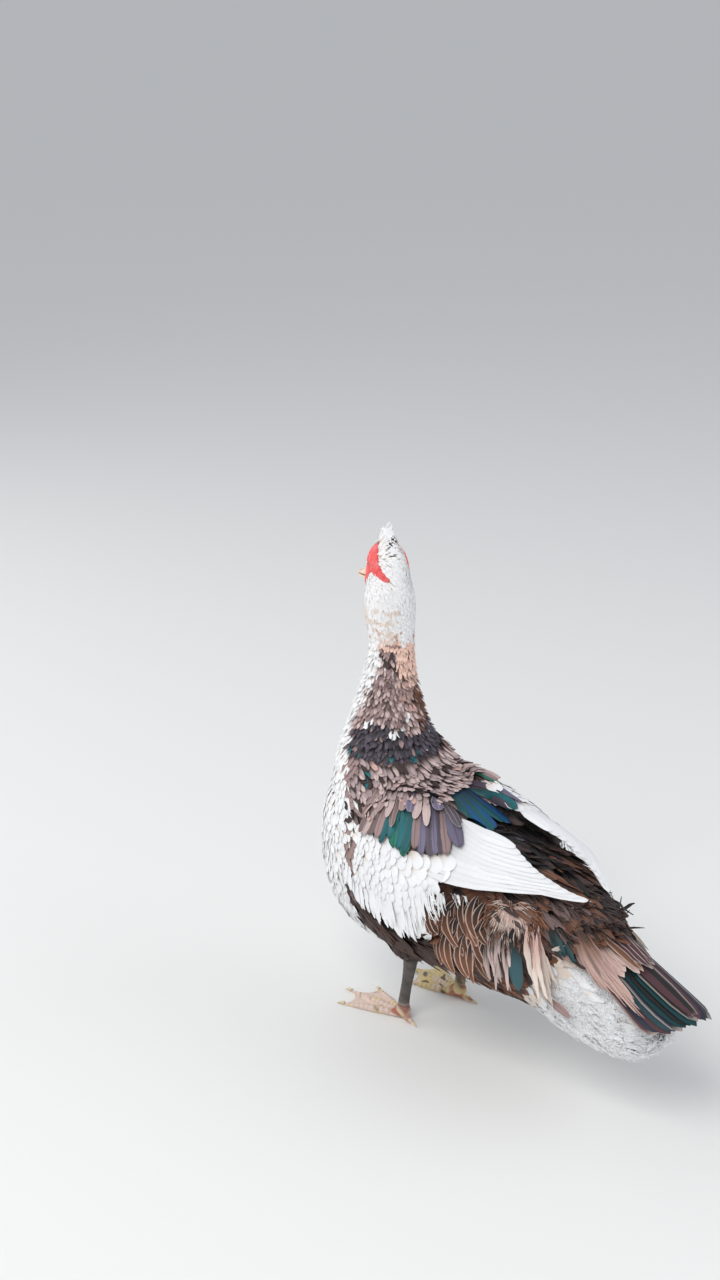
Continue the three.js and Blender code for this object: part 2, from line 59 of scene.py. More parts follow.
@contextmanager
def editing(piece):
    """Edit mode, with the whole mesh selected."""
    pick(piece)
    bpy.ops.object.mode_set(mode="EDIT")
    bpy.ops.mesh.select_all(action="SELECT")
    yield
    bpy.ops.object.mode_set(mode="OBJECT")


def smooth_shaded(piece):
    pick(piece)
    bpy.ops.object.shade_smooth()


def copied_nodes(names, title):
    """One new object that holds copies of these solids, merged at their corners."""
    copies = []
    for name in names:
        copies.append(bpy.data.objects.new(title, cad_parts[name].data.copy()))
        bpy.context.scene.collection.objects.link(copies[-1])
    pick(*copies)
    if len(copies) > 1:
        bpy.ops.object.join()
    piece = bpy.context.active_object
    piece.name = piece.data.name = title
    piece.data.materials.clear()
    with editing(piece):
        bpy.ops.mesh.remove_doubles(threshold=1e-5)
        bpy.ops.mesh.normals_make_consistent(inside=False)
    return piece


def modify(piece, kind, **settings):
    """Adds one modifier and applies it."""
    pick(piece)
    modifier = piece.modifiers.new(kind.title(), kind)
    for key, value in settings.items():
        setattr(modifier, key, value)
    bpy.ops.object.modifier_apply(modifier=modifier.name)


def read(items, field, width, kind=float):
    """One field of a mesh's items, a row for each."""
    values = np.empty(len(items) * width, kind)
    items.foreach_get(field, values)
    return values.reshape(-1, width)


def points_of(piece):
    return read(piece.data.vertices, "co", 3)


def normals_of(piece):
    return read(piece.data.vertex_normals, "vector", 3)


def remeshed(piece, grown, grain, rounds):
    """Grows a piece until its solids close up, makes one surface of them and smooths it."""
    if grown:
        modify(piece, "DISPLACE", strength=grown, mid_level=0)
    modify(piece, "REMESH", mode="VOXEL", voxel_size=grain)
    modify(piece, "SMOOTH", factor=0.5, iterations=rounds)


def coat_depth(places):
    """How deep the coat is over each place: thin on the face, deep and loose at the vent."""
    _, y, z = places.T
    heights = [0.20, 0.27, 0.33, 0.39, 0.41, 0.447, 0.46]
    depth = np.interp(z, heights, [0.0065, 0.0055, 0.0045, 0.003, 0.0022, 0.0026, 0.0055])
    loose = np.interp(y, [0.03, 0.15], [0, 0.0075]) * (z < 0.3)
    legs = np.interp(z, [0.075, 0.09], [0.6, 1])
    return depth * legs + loose


skin = copied_nodes(FLESH + PADDING, "skin")
remeshed(skin, 0.0005, SKIN_GRAIN, 6)
drawn_in = skin.vertex_groups.new(name="coat_depth")
for index, depth in enumerate(coat_depth(points_of(skin))):
    drawn_in.add([index], depth / DEEPEST_COAT, "REPLACE")
modify(skin, "DISPLACE", strength=-DEEPEST_COAT, mid_level=0, vertex_group="coat_depth")
remeshed(skin, 0, SKIN_GRAIN, 10)
modify(skin, "TRIANGULATE")
smooth_shaded(skin)
with editing(skin):
    bpy.ops.uv.smart_project(angle_limit=math.radians(66), island_margin=0.004)
skin.data.uv_layers[0].name = "OFBake"


def srgb(red, green, blue):
    """A colour as a paint chart gives it, 0 to 255, in Blender's linear values."""
    chart = np.array([red, green, blue]) / 255
    return np.where(chart < 0.04045, chart / 12.92, ((chart + 0.055) / 1.055) ** 2.4)


def mixed(first, second, share):
    """The first rows where share is 0, the second where it is 1."""
    share = share[:, None]
    return first * (1 - share) + second * share


WHITE = srgb(238, 239, 240)
CREAM = srgb(226, 212, 200)
# MAUVE and PALE_MAUVE are partly the dark feathers' own tone and partly painted reflection: their gloss
# painted as a pale mauve tint.
MAUVE = srgb(158, 132, 130)
PALE_MAUVE = srgb(198, 176, 172)
PINK_TAN = srgb(206, 170, 160)
PEACH = srgb(238, 200, 182)
UMBER = srgb(58, 42, 38)
CHESTNUT = srgb(118, 76, 53)
SLATE = srgb(84, 76, 88)
BLACK = srgb(24, 20, 21)
# TEAL, GREEN, BLUE and PURPLE are the feathers' iridescence, a sheen that changes with the view, painted here
# as fixed colour.
TEAL = srgb(20, 102, 108)
GREEN = srgb(14, 112, 92)
BLUE = srgb(24, 92, 146)
PURPLE = srgb(112, 106, 130)
NAVY = srgb(20, 30, 50)
MAROON = srgb(78, 46, 52)

HEAD_TURN = math.radians(-25)
# The turned head's own axes, seen from above.
HEAD_LEFT = np.array([math.cos(HEAD_TURN), math.sin(HEAD_TURN), 0])
HEAD_BACK = np.array([-math.sin(HEAD_TURN), math.cos(HEAD_TURN), 0])
NECK_AXIS = np.array([0, -0.151, 0])
# Where the white front of the neck and breast gives way to mauve, as degrees round the neck from the front.
FRONT_EDGE = ([0.20, 0.228, 0.242, 0.266, 0.289, 0.320, 0.351, 0.371], [118, 106, 97, 73, 67, 81, 108, 102])
WHITE_HEAD_FROM = 0.374
# How far back the white breast reaches, from the belly up to the shoulder.
BROW = [-0.124, -0.134, -0.140, -0.132, -0.134]


def in_head(places):
    """Places in the head's own frame: left, back and up."""
    from_axis = places - NECK_AXIS
    return np.column_stack([from_axis @ HEAD_LEFT, from_axis @ HEAD_BACK, places[:, 2]])


def from_head(left, back, up):
    """The place that the head's own frame gives as left, back and up."""
    return NECK_AXIS + HEAD_LEFT * left + HEAD_BACK * back + np.array([0, 0, up])


def wobble(places, size, seed=0):
    """Smooth uneven values between about -1 and 1, whose patches are about size across."""
    rng = np.random.default_rng(seed)
    total = 0
    for _ in range(6):
        way = rng.normal(size=3)
        way *= rng.uniform(0.6, 1.6) * math.pi / (size * np.linalg.norm(way))
        total = total + np.sin(places @ way + rng.uniform(0, 2 * math.pi))
    return total / 2.6


# The upper and lower edge of the bare skin, from the bill's root back to the end of the prong.
FACE_TOP = ([-0.034, -0.020, -0.008, 0.0057, 0.0175], [0.436, 0.448, 0.456, 0.441, 0.431])
FACE_FOOT = (
    [-0.034, -0.020, -0.012, -0.005, 0.0, 0.006, 0.0175], [0.404, 0.412, 0.423, 0.431, 0.433, 0.430, 0.427])
PRONG_ENDS = (0.0175, 0.005)
BARE_FROM_MIDDLE = 0.007


def bare(places, margin=0.0):
    """The bare red skin: a patch round each eye with a prong behind it, and the bill's root."""
    left, back, up = in_head(places).T
    patch = (up < np.interp(back, *FACE_TOP) + margin) & (up > np.interp(back, *FACE_FOOT) - margin)
    patch &= (back < np.where(left > 0, *PRONG_ENDS) + margin) & (np.abs(left) > BARE_FROM_MIDDLE - margin)
    bill_root = (back < -0.020 + margin) & (up > 0.405 - margin) & (up < 0.438 + margin)
    return patch | bill_root


def ruffles(places):
    """Rows of lifted feathers round the neck: 1 where they stand, -1 in the furrow below."""
    return np.sin(2 * math.pi * (places[:, 2] + 0.004 * wobble(places, 0.03, 7)) / 0.0085)


def markings(places, seed):
    """Colours of the plumage: tip and root of each feather. The tip's alpha is its gloss."""
    rng = np.random.default_rng(seed)
    x, y, z = places.T
    count = len(places)
    tip = np.zeros((count, 4))
    root = np.ones((count, 4))
    patchy = 0.5 + 0.26 * wobble(places, 0.008, 5) + 0.5 * (rng.random(count) - 0.5)

    def paint(where, tip_colour, root_colour, gloss=0.0, share=2.0):
        chosen = where & (patchy < share)
        tip[chosen, :3] = tip_colour
        tip[chosen, 3] = gloss
        root[chosen, :3] = root_colour

    uneven = wobble(places, 0.022, 3)
    fine = wobble(places, 0.009, 4)
    behind_neck = y - NECK_AXIS[1]
    behind = behind_neck > 0
    turn = np.degrees(np.arctan2(np.abs(x), -behind_neck))
    # Everywhere first: mauve tips, partly painted reflection of gloss, over umber roots.
    paint(np.ones(count, bool), MAUVE, UMBER)
    # Neck: mauve scales over umber, in ruffled bands. The mauve is partly painted reflection of gloss, and
    # the pale tips over dark roots give each lifted row a painted light rim and painted shade below.
    neck = z > 0.285
    patchy = patchy - 0.2 * ruffles(places) * neck
    paint(neck, PALE_MAUVE, MAUVE * 0.35, share=0.5)
    paint(neck, MAUVE * 0.45, BLACK, share=0.2)
    paint(neck & (np.abs(z - 0.318) < 0.014) & (x < 0.004), PINK_TAN, UMBER, share=0.5)
    nape = (behind_neck > 0.006) & (np.abs(x + 0.006) < 0.015) & (z > 0.318)
    # Nape: pink-tan and peach tips over umber roots, which show as painted shade lines under its ruffles.
    paint(nape, PINK_TAN * 0.7, UMBER, share=0.85)
    paint(nape & (z > 0.330), PEACH * 0.8, UMBER, share=0.6)
    paint(nape & (z > 0.342), PEACH, PINK_TAN * 0.6, share=0.95)
    paint(neck & (z < 0.330) & (x < -0.004) & behind, CHESTNUT * 0.8, BLACK, share=0.45)
    streak = (np.abs(x - 0.0130 - 0.3 * (z - 0.355)) < 0.0036) & (np.abs(z - 0.355) < 0.011)
    paint(streak & behind, UMBER * 1.4, BLACK, share=0.38)
    under_head = (np.abs(z - 0.371) < 0.005) & (np.abs(x - 0.012) < 0.010)
    paint(under_head & behind, PEACH, CHESTNUT, share=0.6)
    # Slate collar below it, with a teal glint at its sides.
    collar = (z > 0.264) & (z <= 0.294 + 0.004 * uneven) & (behind_neck > -0.01)
    paint(collar, SLATE, BLACK, 0.25)
    paint(collar, SLATE * 0.55, BLACK, 0.25, share=0.5)
    paint(collar, MAUVE * 0.9, SLATE * 0.5, 0.1, share=0.14)
    paint(collar & (z < 0.272), TEAL, BLACK, 0.5, share=0.18)
    specks = wobble(places, 0.006, 8)
    paint(collar & (specks > 1.25), WHITE, CREAM)
    paint((np.abs(z - 0.299) < 0.007) & (specks > 0.7) & behind & (x > 0), WHITE, CREAM)
    # Back between the wings, rump and flanks: near black and umber.
    body = z <= 0.222
    paint(body, UMBER, BLACK, 0.15)
    paint(body, MAUVE * 0.5, BLACK, share=0.25)
    back = (z <= 0.228) & (np.abs(x) < 0.05) & (y > -0.05) & (z > 0.165)
    paint(back, BLACK, BLACK, 0.3)
    paint(back, UMBER, BLACK, 0.1, share=0.4)
    rump = (y > 0.055) & (z > 0.165)
    paint(rump, MAUVE * 0.5, UMBER)
    paint(rump, CHESTNUT, UMBER, share=0.35)
    rear_flank = (y > -0.03) & (z < 0.19) & (z > 0.085) & (np.abs(x) > 0.035)
    paint(rear_flank, CHESTNUT, UMBER, 0.1, share=0.6)
    wing_foot = np.interp(y, [-0.118, -0.095, -0.060, -0.044, -0.031, -0.013, 0.008, 0.030],
                          [0.156, 0.142, 0.142, 0.134, 0.138, 0.166, 0.182, 0.190])
    under_wing_white = (np.abs(x) > 0.05) & (y > -0.124) & (y < -0.016) & (z > wing_foot) & (z < 0.212)
    paint(under_wing_white, WHITE, WHITE * 0.9)
    vent = (y > 0.062 + 0.6 * (z - 0.11)) & (z < np.where(x > 0, 0.168, 0.155))
    paint(vent, WHITE, CREAM)
    paint(vent & (y < 0.080 + 0.6 * (z - 0.11)), CREAM, CREAM, share=0.6)
    # White breast, neck front and head.
    edge = np.interp(z, *FRONT_EDGE) + 7 * uneven + 5 * rng.normal(size=count)
    front = (turn < edge) & (z > 0.20)
    brow = np.interp(z, [0.07, 0.12, 0.155, 0.17, 0.20], BROW) + 0.003 * uneven
    paint(front | ((z <= 0.20) & (y < brow)), WHITE, CREAM)
    brown_patch = (np.abs(y + 0.1335) < 0.006) & (np.abs(z - 0.177) < 0.02 + 0.004 * fine)
    paint(brown_patch, PINK_TAN * 0.6, UMBER, share=0.75)
    head = z > WHITE_HEAD_FROM + 0.005 * uneven + 0.002 * rng.normal(size=count)
    paint(head, WHITE, CREAM)
    paint(head & (z < 0.405) & (x > 0.008), CREAM, CREAM, share=0.45)
    paint(head & (z < 0.386) & (fine > 0.3), PINK_TAN, CHESTNUT, share=0.35)
    tone = 1 + 0.05 * rng.normal(size=(count, 1))
    tip[:, :3] = np.clip(tip[:, :3] * tone, 0, 0.9)
    root[:, :3] = np.clip(root[:, :3] * tone, 0, 0.9)
    return tip, root


class Shade:
    """An output of a material's node, so that shader maths reads as Python."""

    def __init__(self, finish, output):
        self.finish = finish
        self.output = output

    def math(self, operation, *others):
        return self.finish.node("ShaderNodeMath", {"operation": operation}, self, *others)

    def __add__(self, other):
        return self.math("ADD", other)

    def __mul__(self, other):
        return self.math("MULTIPLY", other)

    def __sub__(self, other):
        return self.math("SUBTRACT", other)

    def __rsub__(self, other):
        return self.finish.node("ShaderNodeMath", {"operation": "SUBTRACT"}, other, self)

    def rising(self, low, high):
        """0 below low and 1 above high, smooth between."""
        settings = {"interpolation_type": "SMOOTHSTEP"}
        return self.finish.node("ShaderNodeMapRange", settings, self, low, high, 0.0, 1.0)

    def other(self, name):
        """Another output of the same node."""
        return Shade(self.finish, self.output.node.outputs[name])


class Finish:
    """A material in the making, on one Principled shader."""

    def __init__(self, name, **surface):
        self.material = bpy.data.materials.new(name)
        self.material.use_nodes = True
        self.tree = self.material.node_tree
        self.shader = self.tree.nodes["Principled BSDF"]
        for socket, value in surface.items():
            self.shader.inputs[socket.replace("_", " ")].default_value = value

    def node(self, kind, settings, *values, sockets=None, output=0):
        """Adds a node: its settings first, then the values or links of its sockets."""
        new = self.tree.nodes.new(kind)
        for key, value in settings.items():
            setattr(new, key, value)
        fed = dict(enumerate(values))
        fed.update(sockets or {})
        for place, value in fed.items():
            self.feed(new.inputs[place], value)
        return Shade(self, new.outputs[output])

    def feed(self, socket, value):
        if isinstance(value, Shade):
            self.tree.links.new(value.output, socket)
        else:
            socket.default_value = value

    def blend(self, share, colour, other):
        """Mixes two colours; share 1 is all the other."""
        first, second = (c if isinstance(c, Shade) else (*c[:3], 1.0) for c in (colour, other))
        sockets = {0: share, 6: first, 7: second}
        return self.node("ShaderNodeMix", {"data_type": "RGBA"}, sockets=sockets, output=2)

    def attribute(self, name):
        return self.node("ShaderNodeAttribute", {"attribute_name": name}, output="Color")

    def place(self, stretch=None):
        """Where a point is on the object, each axis stretched."""
        place = self.node("ShaderNodeTexCoord", {}, output="Object")
        return self.node("ShaderNodeMapping", {}, place, sockets={"Scale": stretch}) if stretch else place

    def noise(self, scale, detail=3.0, stretch=None):
        sockets = {"Scale": scale, "Detail": detail}
        return self.node("ShaderNodeTexNoise", {}, self.place(stretch), sockets=sockets)

    def warts(self, scale):
        sockets = {"Scale": scale}
        return self.node("ShaderNodeTexVoronoi", {}, self.place(), sockets=sockets, output="Distance")

    def bump(self, height, strength, distance):
        sockets = {"Strength": strength, "Distance": distance, "Height": height}
        self.surface("Normal", self.node("ShaderNodeBump", {}, sockets=sockets))

    def surface(self, socket, value):
        self.feed(self.shader.inputs[socket], value)

    def dress(self, piece):
        piece.data.materials.clear()
        piece.data.materials.append(self.material)


def colour_points(piece, colours):
    """Stores one colour for each point of the mesh."""
    four = np.column_stack([colours, np.ones(len(colours))])
    piece.data.attributes.new("tint", "FLOAT_COLOR", "POINT").data.foreach_set("color", four.ravel())


def painted(name, **surface):
    """A material that takes its colour from the mesh."""
    finish = Finish(name, **surface)
    finish.surface("Base Color", finish.attribute("tint"))
    return finish


hide = Finish("hide under feathers", Roughness=0.75)
hide.surface("Base Color", hide.blend(hide.noise(160) * 0.12, hide.attribute("tint"), tuple(CHESTNUT)))
hide.bump(hide.warts(420), 0.35, 0.0006)
skin_tip, skin_root = markings(points_of(skin), 1)
# The hide is painted halfway between each place's feather tip and its darker root, so that the gaps between
# feathers show painted shade; under the bare face it is dark red.
hide_colours_with_gap_shade = (skin_root * 0.5 + skin_tip * 0.5)[:, :3]
DARK_RED = srgb(150, 44, 48)
hide_colours_with_gap_shade[bare(points_of(skin), 0.001)] = DARK_RED
colour_points(skin, hide_colours_with_gap_shade)
hide.dress(skin)
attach(skin, "root")
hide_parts(*FLESH)


# Plumage: every feather is a closed thin vane on a shaft line, or a shaft with loose barbs.
# Lines are laid over a ground: the skin, or the plumage's outline for feathers that lie on others.
def unit(vectors):
    return vectors / np.maximum(np.linalg.norm(vectors, axis=-1, keepdims=True), 1e-9)


def along(vectors, others):
    return (vectors * others).sum(-1, keepdims=True)


class Ground:
    """A surface that feathers grow on."""

    # How many places are tried for each one that an even spacing would hold.
    TRIED = 2.6

    def __init__(self, piece, unwrap=None):
        mesh = piece.data
        mesh.calc_loop_triangles()
        corners = read(mesh.loop_triangles, "vertices", 3, np.int32)
        places = points_of(piece)
        self.corners = places[corners]
        self.normals = normals_of(piece)[corners]
        sides = self.corners[:, 1:] - self.corners[:, :1]
        self.areas = np.linalg.norm(np.cross(sides[:, 0], sides[:, 1]), axis=1) / 2
        if unwrap:
            loops = read(mesh.loop_triangles, "loops", 3, np.int32)
            self.unwrap = read(mesh.uv_layers[unwrap].uv, "vector", 2)[loops]
        self.tree = BVHTree.FromPolygons(places.tolist(), corners.tolist())

    def weights(self, places, faces):
        """The share of each face's three corners at a place on it."""
        a, b, c = self.corners[faces].transpose(1, 0, 2)
        ab, ac, ap = b - a, c - a, places - a
        d1, d2, d3 = along(ab, ab), along(ab, ac), along(ac, ac)
        d4, d5 = along(ap, ab), along(ap, ac)
        spread = np.maximum(d1 * d3 - d2 * d2, 1e-18)
        second = (d3 * d4 - d2 * d5) / spread
        third = (d1 * d5 - d2 * d4) / spread
        return np.concatenate([1 - second - third, second, third], 1)

    def settle(self, places):
        """The nearest places on the surface, with the normals and the faces there."""
        hits = [self.tree.find_nearest(place) for place in places.tolist()]
        faces = np.array([hit[2] for hit in hits])
        found = np.array([hit[0][:] for hit in hits])
        shares = self.weights(found, faces)
        return found, unit((self.normals[faces] * shares[:, :, None]).sum(1)), faces

    def unwrapped(self, places):
        """Where these places are on the skin's flat unwrap."""
        found, _, faces = self.settle(places)
        return (self.unwrap[faces] * self.weights(found, faces)[:, :, None]).sum(1)

    def scatter(self, spacing, kept, seed):
        """Places about one spacing apart, uneven as nature sets them, where kept says yes."""
        rng = np.random.default_rng(seed)
        middles = self.corners.mean(1)
        gaps = (spacing(middles) if callable(spacing) else spacing) * np.ones(len(middles))
        wanted = rng.poisson(self.areas / gaps**2 * self.TRIED * kept(middles))
        faces = np.repeat(np.arange(len(wanted)), wanted)
        rng.shuffle(faces)
        shares = rng.random((len(faces), 2))
        folded = shares.sum(1) > 1
        shares[folded] = 1 - shares[folded]
        shares = np.column_stack([1 - shares.sum(1), shares])
        places = (self.corners[faces] * shares[:, :, None]).sum(1)
        cell = gaps[faces].max() if len(faces) else 1
        taken = {}
        chosen = []
        around = [(i, j, k) for i in (-1, 0, 1) for j in (-1, 0, 1) for k in (-1, 0, 1)]
        cells = np.floor(places / cell).astype(int).tolist()
        each = zip(cells, places.tolist(), (gaps[faces] ** 2).tolist())
        for index, ((cx, cy, cz), place, gap) in enumerate(each):
            px, py, pz = place
            near = (q for i, j, k in around for q in taken.get((cx + i, cy + j, cz + k), ()))
            if all((px - q[0]) ** 2 + (py - q[1]) ** 2 + (pz - q[2]) ** 2 > gap for q in near):
                taken.setdefault((cx, cy, cz), []).append(place)
                chosen.append(index)
        faces = faces[chosen]
        return places[chosen], unit((self.normals[faces] * shares[chosen][:, :, None]).sum(1))

    def lay(self, roots, normals, ways, lengths, shares, rises, cling=0.003, least_turn=0.3):
        """Shaft lines along the surface, lifted off it by rises. Past an edge they run on freely."""
        place, normal = roots, normals
        way = unit(ways - normal * along(ways, normal))
        lines, ups = [place + normal * rises[:, :1]], [normal]
        for row in range(1, len(shares)):
            ahead = place + way * (lengths * (shares[row] - shares[row - 1]))[:, None]
            found, found_normal, _ = self.settle(ahead)
            close = np.linalg.norm(found - ahead, axis=1, keepdims=True) < cling
            held = close & (along(found_normal, normals) > least_turn)
            place = np.where(held, found, ahead)
            normal = np.where(held, found_normal, normal)
            way = unit(way - normal * along(way, normal))
            lines.append(place + normal * rises[:, row : row + 1])
            ups.append(normal)
        return np.stack(lines, 1), np.stack(ups, 1)

    def span(self, starts, ends, shares, rises):
        """Shaft lines between given ends, held to the surface and lifted off it by rises."""
        places = starts[:, None] * (1 - shares[None, :, None]) + ends[:, None] * shares[None, :, None]
        found, normals, _ = self.settle(places.reshape(-1, 3))
        normals = normals.reshape(places.shape)
        lines = found.reshape(places.shape) + normals * rises[:, :, None]
        for _ in range(2):
            lines[:, 1:-1] = (lines[:, :-2] + 2 * lines[:, 1:-1] + lines[:, 2:]) / 4
            normals[:, 1:-1] = unit(normals[:, :-2] + 2 * normals[:, 1:-1] + normals[:, 2:])
        return lines, normals

    def clear(self, lines, least):
        """The same lines, lifted to at least this height off the surface, with the normals there."""
        flat = lines.reshape(-1, 3)
        found, normals, _ = self.settle(flat)
        height = along(flat - found, normals)
        lifted = flat + normals * np.maximum(least - height, 0)
        return lifted.reshape(lines.shape), normals.reshape(lines.shape)


def arcs(starts, ways, end_ways, lengths, shares):
    """Shaft lines that leave their roots one way and bend steadily to another."""
    lines = [starts]
    for row in range(1, len(shares)):
        middle = (shares[row] + shares[row - 1]) / 2
        step = unit(ways * (1 - middle) + end_ways * middle)
        lines.append(lines[-1] + step * (lengths * (shares[row] - shares[row - 1]))[:, None])
    return np.stack(lines, 1)


class Coat:
    """Gathers feathers and joins them into pieces of fewer than 200,000 triangles."""

    MOST_TRIANGLES = 190000
    # How wide a feather's patch is on the skin's unwrap.
    PATCH = 0.003

    def __init__(self):
        self.batches = []

    def add(self, bodies, flat, faces, tips, shades, trims=None, places=None):
        """bodies: each feather's corners; flat: each corner across and along; faces: shared by all."""
        trims = np.column_stack([shades[:, :3], np.zeros(len(bodies))]) if trims is None else trims
        places = bodies[:, 0] if places is None else places
        flat = np.broadcast_to(flat, (*bodies.shape[:2], 2))
        self.batches.append(([bodies, flat, tips, shades, trims, places], faces))

    def pieces(self, name, replaced=()):
        groups, held, triangles = [], [], 0
        for arrays, faces in self.batches:
            each = sum(len(face) - 2 for face in faces)
            start = 0
            while start < len(arrays[0]):
                room = (self.MOST_TRIANGLES - triangles) // each
                if room < 1:
                    groups.append(held)
                    held, triangles = [], 0
                    continue
                part = [array[start : start + room] for array in arrays]
                held.append((part, faces))
                triangles += len(part[0]) * each
                start += room
        groups.append(held)
        for number, held in enumerate(groups, 1):
            piece = self.join(name if len(groups) == 1 else f"{name}_{number}", held)
            plumage.dress(piece)
            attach(piece, "root")
            if replaced:
                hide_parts(*replaced)

    def join(self, title, held):
        layers = ("place", "vane", "OFBake", "tint", "shade", "trim", "length")
        columns = {layer: [] for layer in layers}
        loops, sizes = [], []
        first = 0
        for (bodies, flat, tips, shades, trims, places), faces in held:
            count, corners = bodies.shape[:2]
            starts = first + np.arange(count)[:, None] * corners
            loops.append((np.concatenate(faces)[None] + starts).ravel())
            sizes.append(np.tile([len(face) for face in faces], count))
            columns["place"].append(bodies.reshape(-1, 3))
            columns["vane"].append(flat.reshape(-1, 2))
            unwraps = skin_ground.unwrapped(places)[:, None] + (flat - [0.5, 0.5]) * self.PATCH
            columns["OFBake"].append(unwraps.reshape(-1, 2))
            for layer, values in (("tint", tips), ("shade", shades), ("trim", trims)):
                columns[layer].append(np.repeat(values, corners, 0))
            length = np.linalg.norm(bodies[:, -1] - bodies[:, 0], axis=1)
            columns["length"].append(np.repeat(length, corners))
            first += count * corners
        loops, sizes = np.concatenate(loops), np.concatenate(sizes)
        columns = {layer: np.concatenate(values) for layer, values in columns.items()}
        mesh = bpy.data.meshes.new(title)
        mesh.vertices.add(first)
        mesh.vertices.foreach_set("co", columns["place"].ravel())
        mesh.loops.add(len(loops))
        mesh.loops.foreach_set("vertex_index", loops.astype(np.int32))
        mesh.polygons.add(len(sizes))
        mesh.polygons.foreach_set("loop_start", (np.cumsum(sizes) - sizes).astype(np.int32))
        mesh.update(calc_edges=True)
        for layer in ("vane", "OFBake"):
            on_corners = columns[layer][loops].ravel().astype(np.float32)
            mesh.uv_layers.new(name=layer).uv.foreach_set("vector", on_corners)
        for layer in ("tint", "shade", "trim"):
            attribute = mesh.attributes.new(layer, "FLOAT_COLOR", "POINT")
            attribute.data.foreach_set("color", columns[layer].ravel().astype(np.float32))
        lengths = mesh.attributes.new("length", "FLOAT", "POINT")
        lengths.data.foreach_set("value", columns["length"].astype(np.float32))
        mesh.shade_smooth()
        mesh.set_sharp_from_angle(angle=math.radians(70))
        piece = bpy.data.objects.new(title, mesh)
        bpy.context.scene.collection.objects.link(piece)
        return piece


def leaf(shares, blunt, widest):
    """Half width of a feather along its length, as a share of the widest: a narrow root and a round tip."""
    grown = np.clip(shares / widest, 0, 1) ** 0.6
    closed = np.clip(1 - ((shares - widest) / (1 - widest)).clip(0, 1) ** blunt, 0, 1) ** 0.5
    return grown * closed


SMALL = np.array([0, 0.25, 0.6, 0.88, 1])
MIDDLE = np.array([0, 0.15, 0.35, 0.55, 0.75, 0.88, 0.96, 1])
LARGE = np.array([0, 0.06, 0.15, 0.26, 0.38, 0.5, 0.62, 0.74, 0.84, 0.91, 0.96, 1])
NARROW_RING = (-1, 0, 1)
WIDE_RING = (-1, -0.5, 0, 0.5, 1)


def vanes(lines, ups, widths, shares, blunt=2.6, widest=0.45, arch=0.2, thick=0.0003, across=NARROW_RING,
          roll=None, ragged=0.0, seed=0):
    """Closed thin feathers along shaft lines. Every row is a ring: over the top, then back underneath.

    blunt: how round the tip is; widest: where, along it; arch: how far the edges drop; roll: its turn
    about the shaft; ragged: how deeply its edge is torn.
    """
    count, rows = lines.shape[:2]
    ways = unit(np.gradient(lines, axis=1))
    sides = unit(np.cross(ways, ups))
    if roll is not None:
        tilt = roll[:, None, None]
        sides = sides * np.cos(tilt) + np.cross(ways, sides) * np.sin(tilt)
    tops = unit(np.cross(sides, ways))
    rng = np.random.default_rng(seed)
    half = (widths / 2)[:, None] * leaf(shares, blunt, widest)[None]
    torn = 1 - ragged * rng.random((count, rows, 2)) ** 2
    ring = [(share, 0) for share in across] + [(share, 1) for share in across[-2:0:-1]]
    bodies, flat = [lines[:, 0]], [(0.5, 0.0)]
    for row in range(1, rows - 1):
        for share, below in ring:
            reach = half[:, row] * share * torn[:, row, int(share > 0)]
            drop = arch * half[:, row] * share**2 + thick * (below + 0.3 * abs(share))
            spot = lines[:, row] + sides[:, row] * reach[:, None] - tops[:, row] * drop[:, None]
            bodies.append(spot)
            flat.append((0.5 + 0.5 * share, shares[row]))
    bodies.append(lines[:, -1])
    flat.append((0.5, 1.0))
    size = len(ring)
    faces = [(0, 1 + k, 1 + (k + 1) % size) for k in range(size)]
    for row in range(rows - 3):
        start = 1 + row * size
        for k in range(size):
            after = start + (k + 1) % size
            faces.append((start + k, start + size + k, after + size, after))
    start = 1 + (rows - 3) * size
    faces += [(start + k, 1 + (rows - 2) * size, start + (k + 1) % size) for k in range(size)]
    return np.stack(bodies, 1), np.array(flat), faces


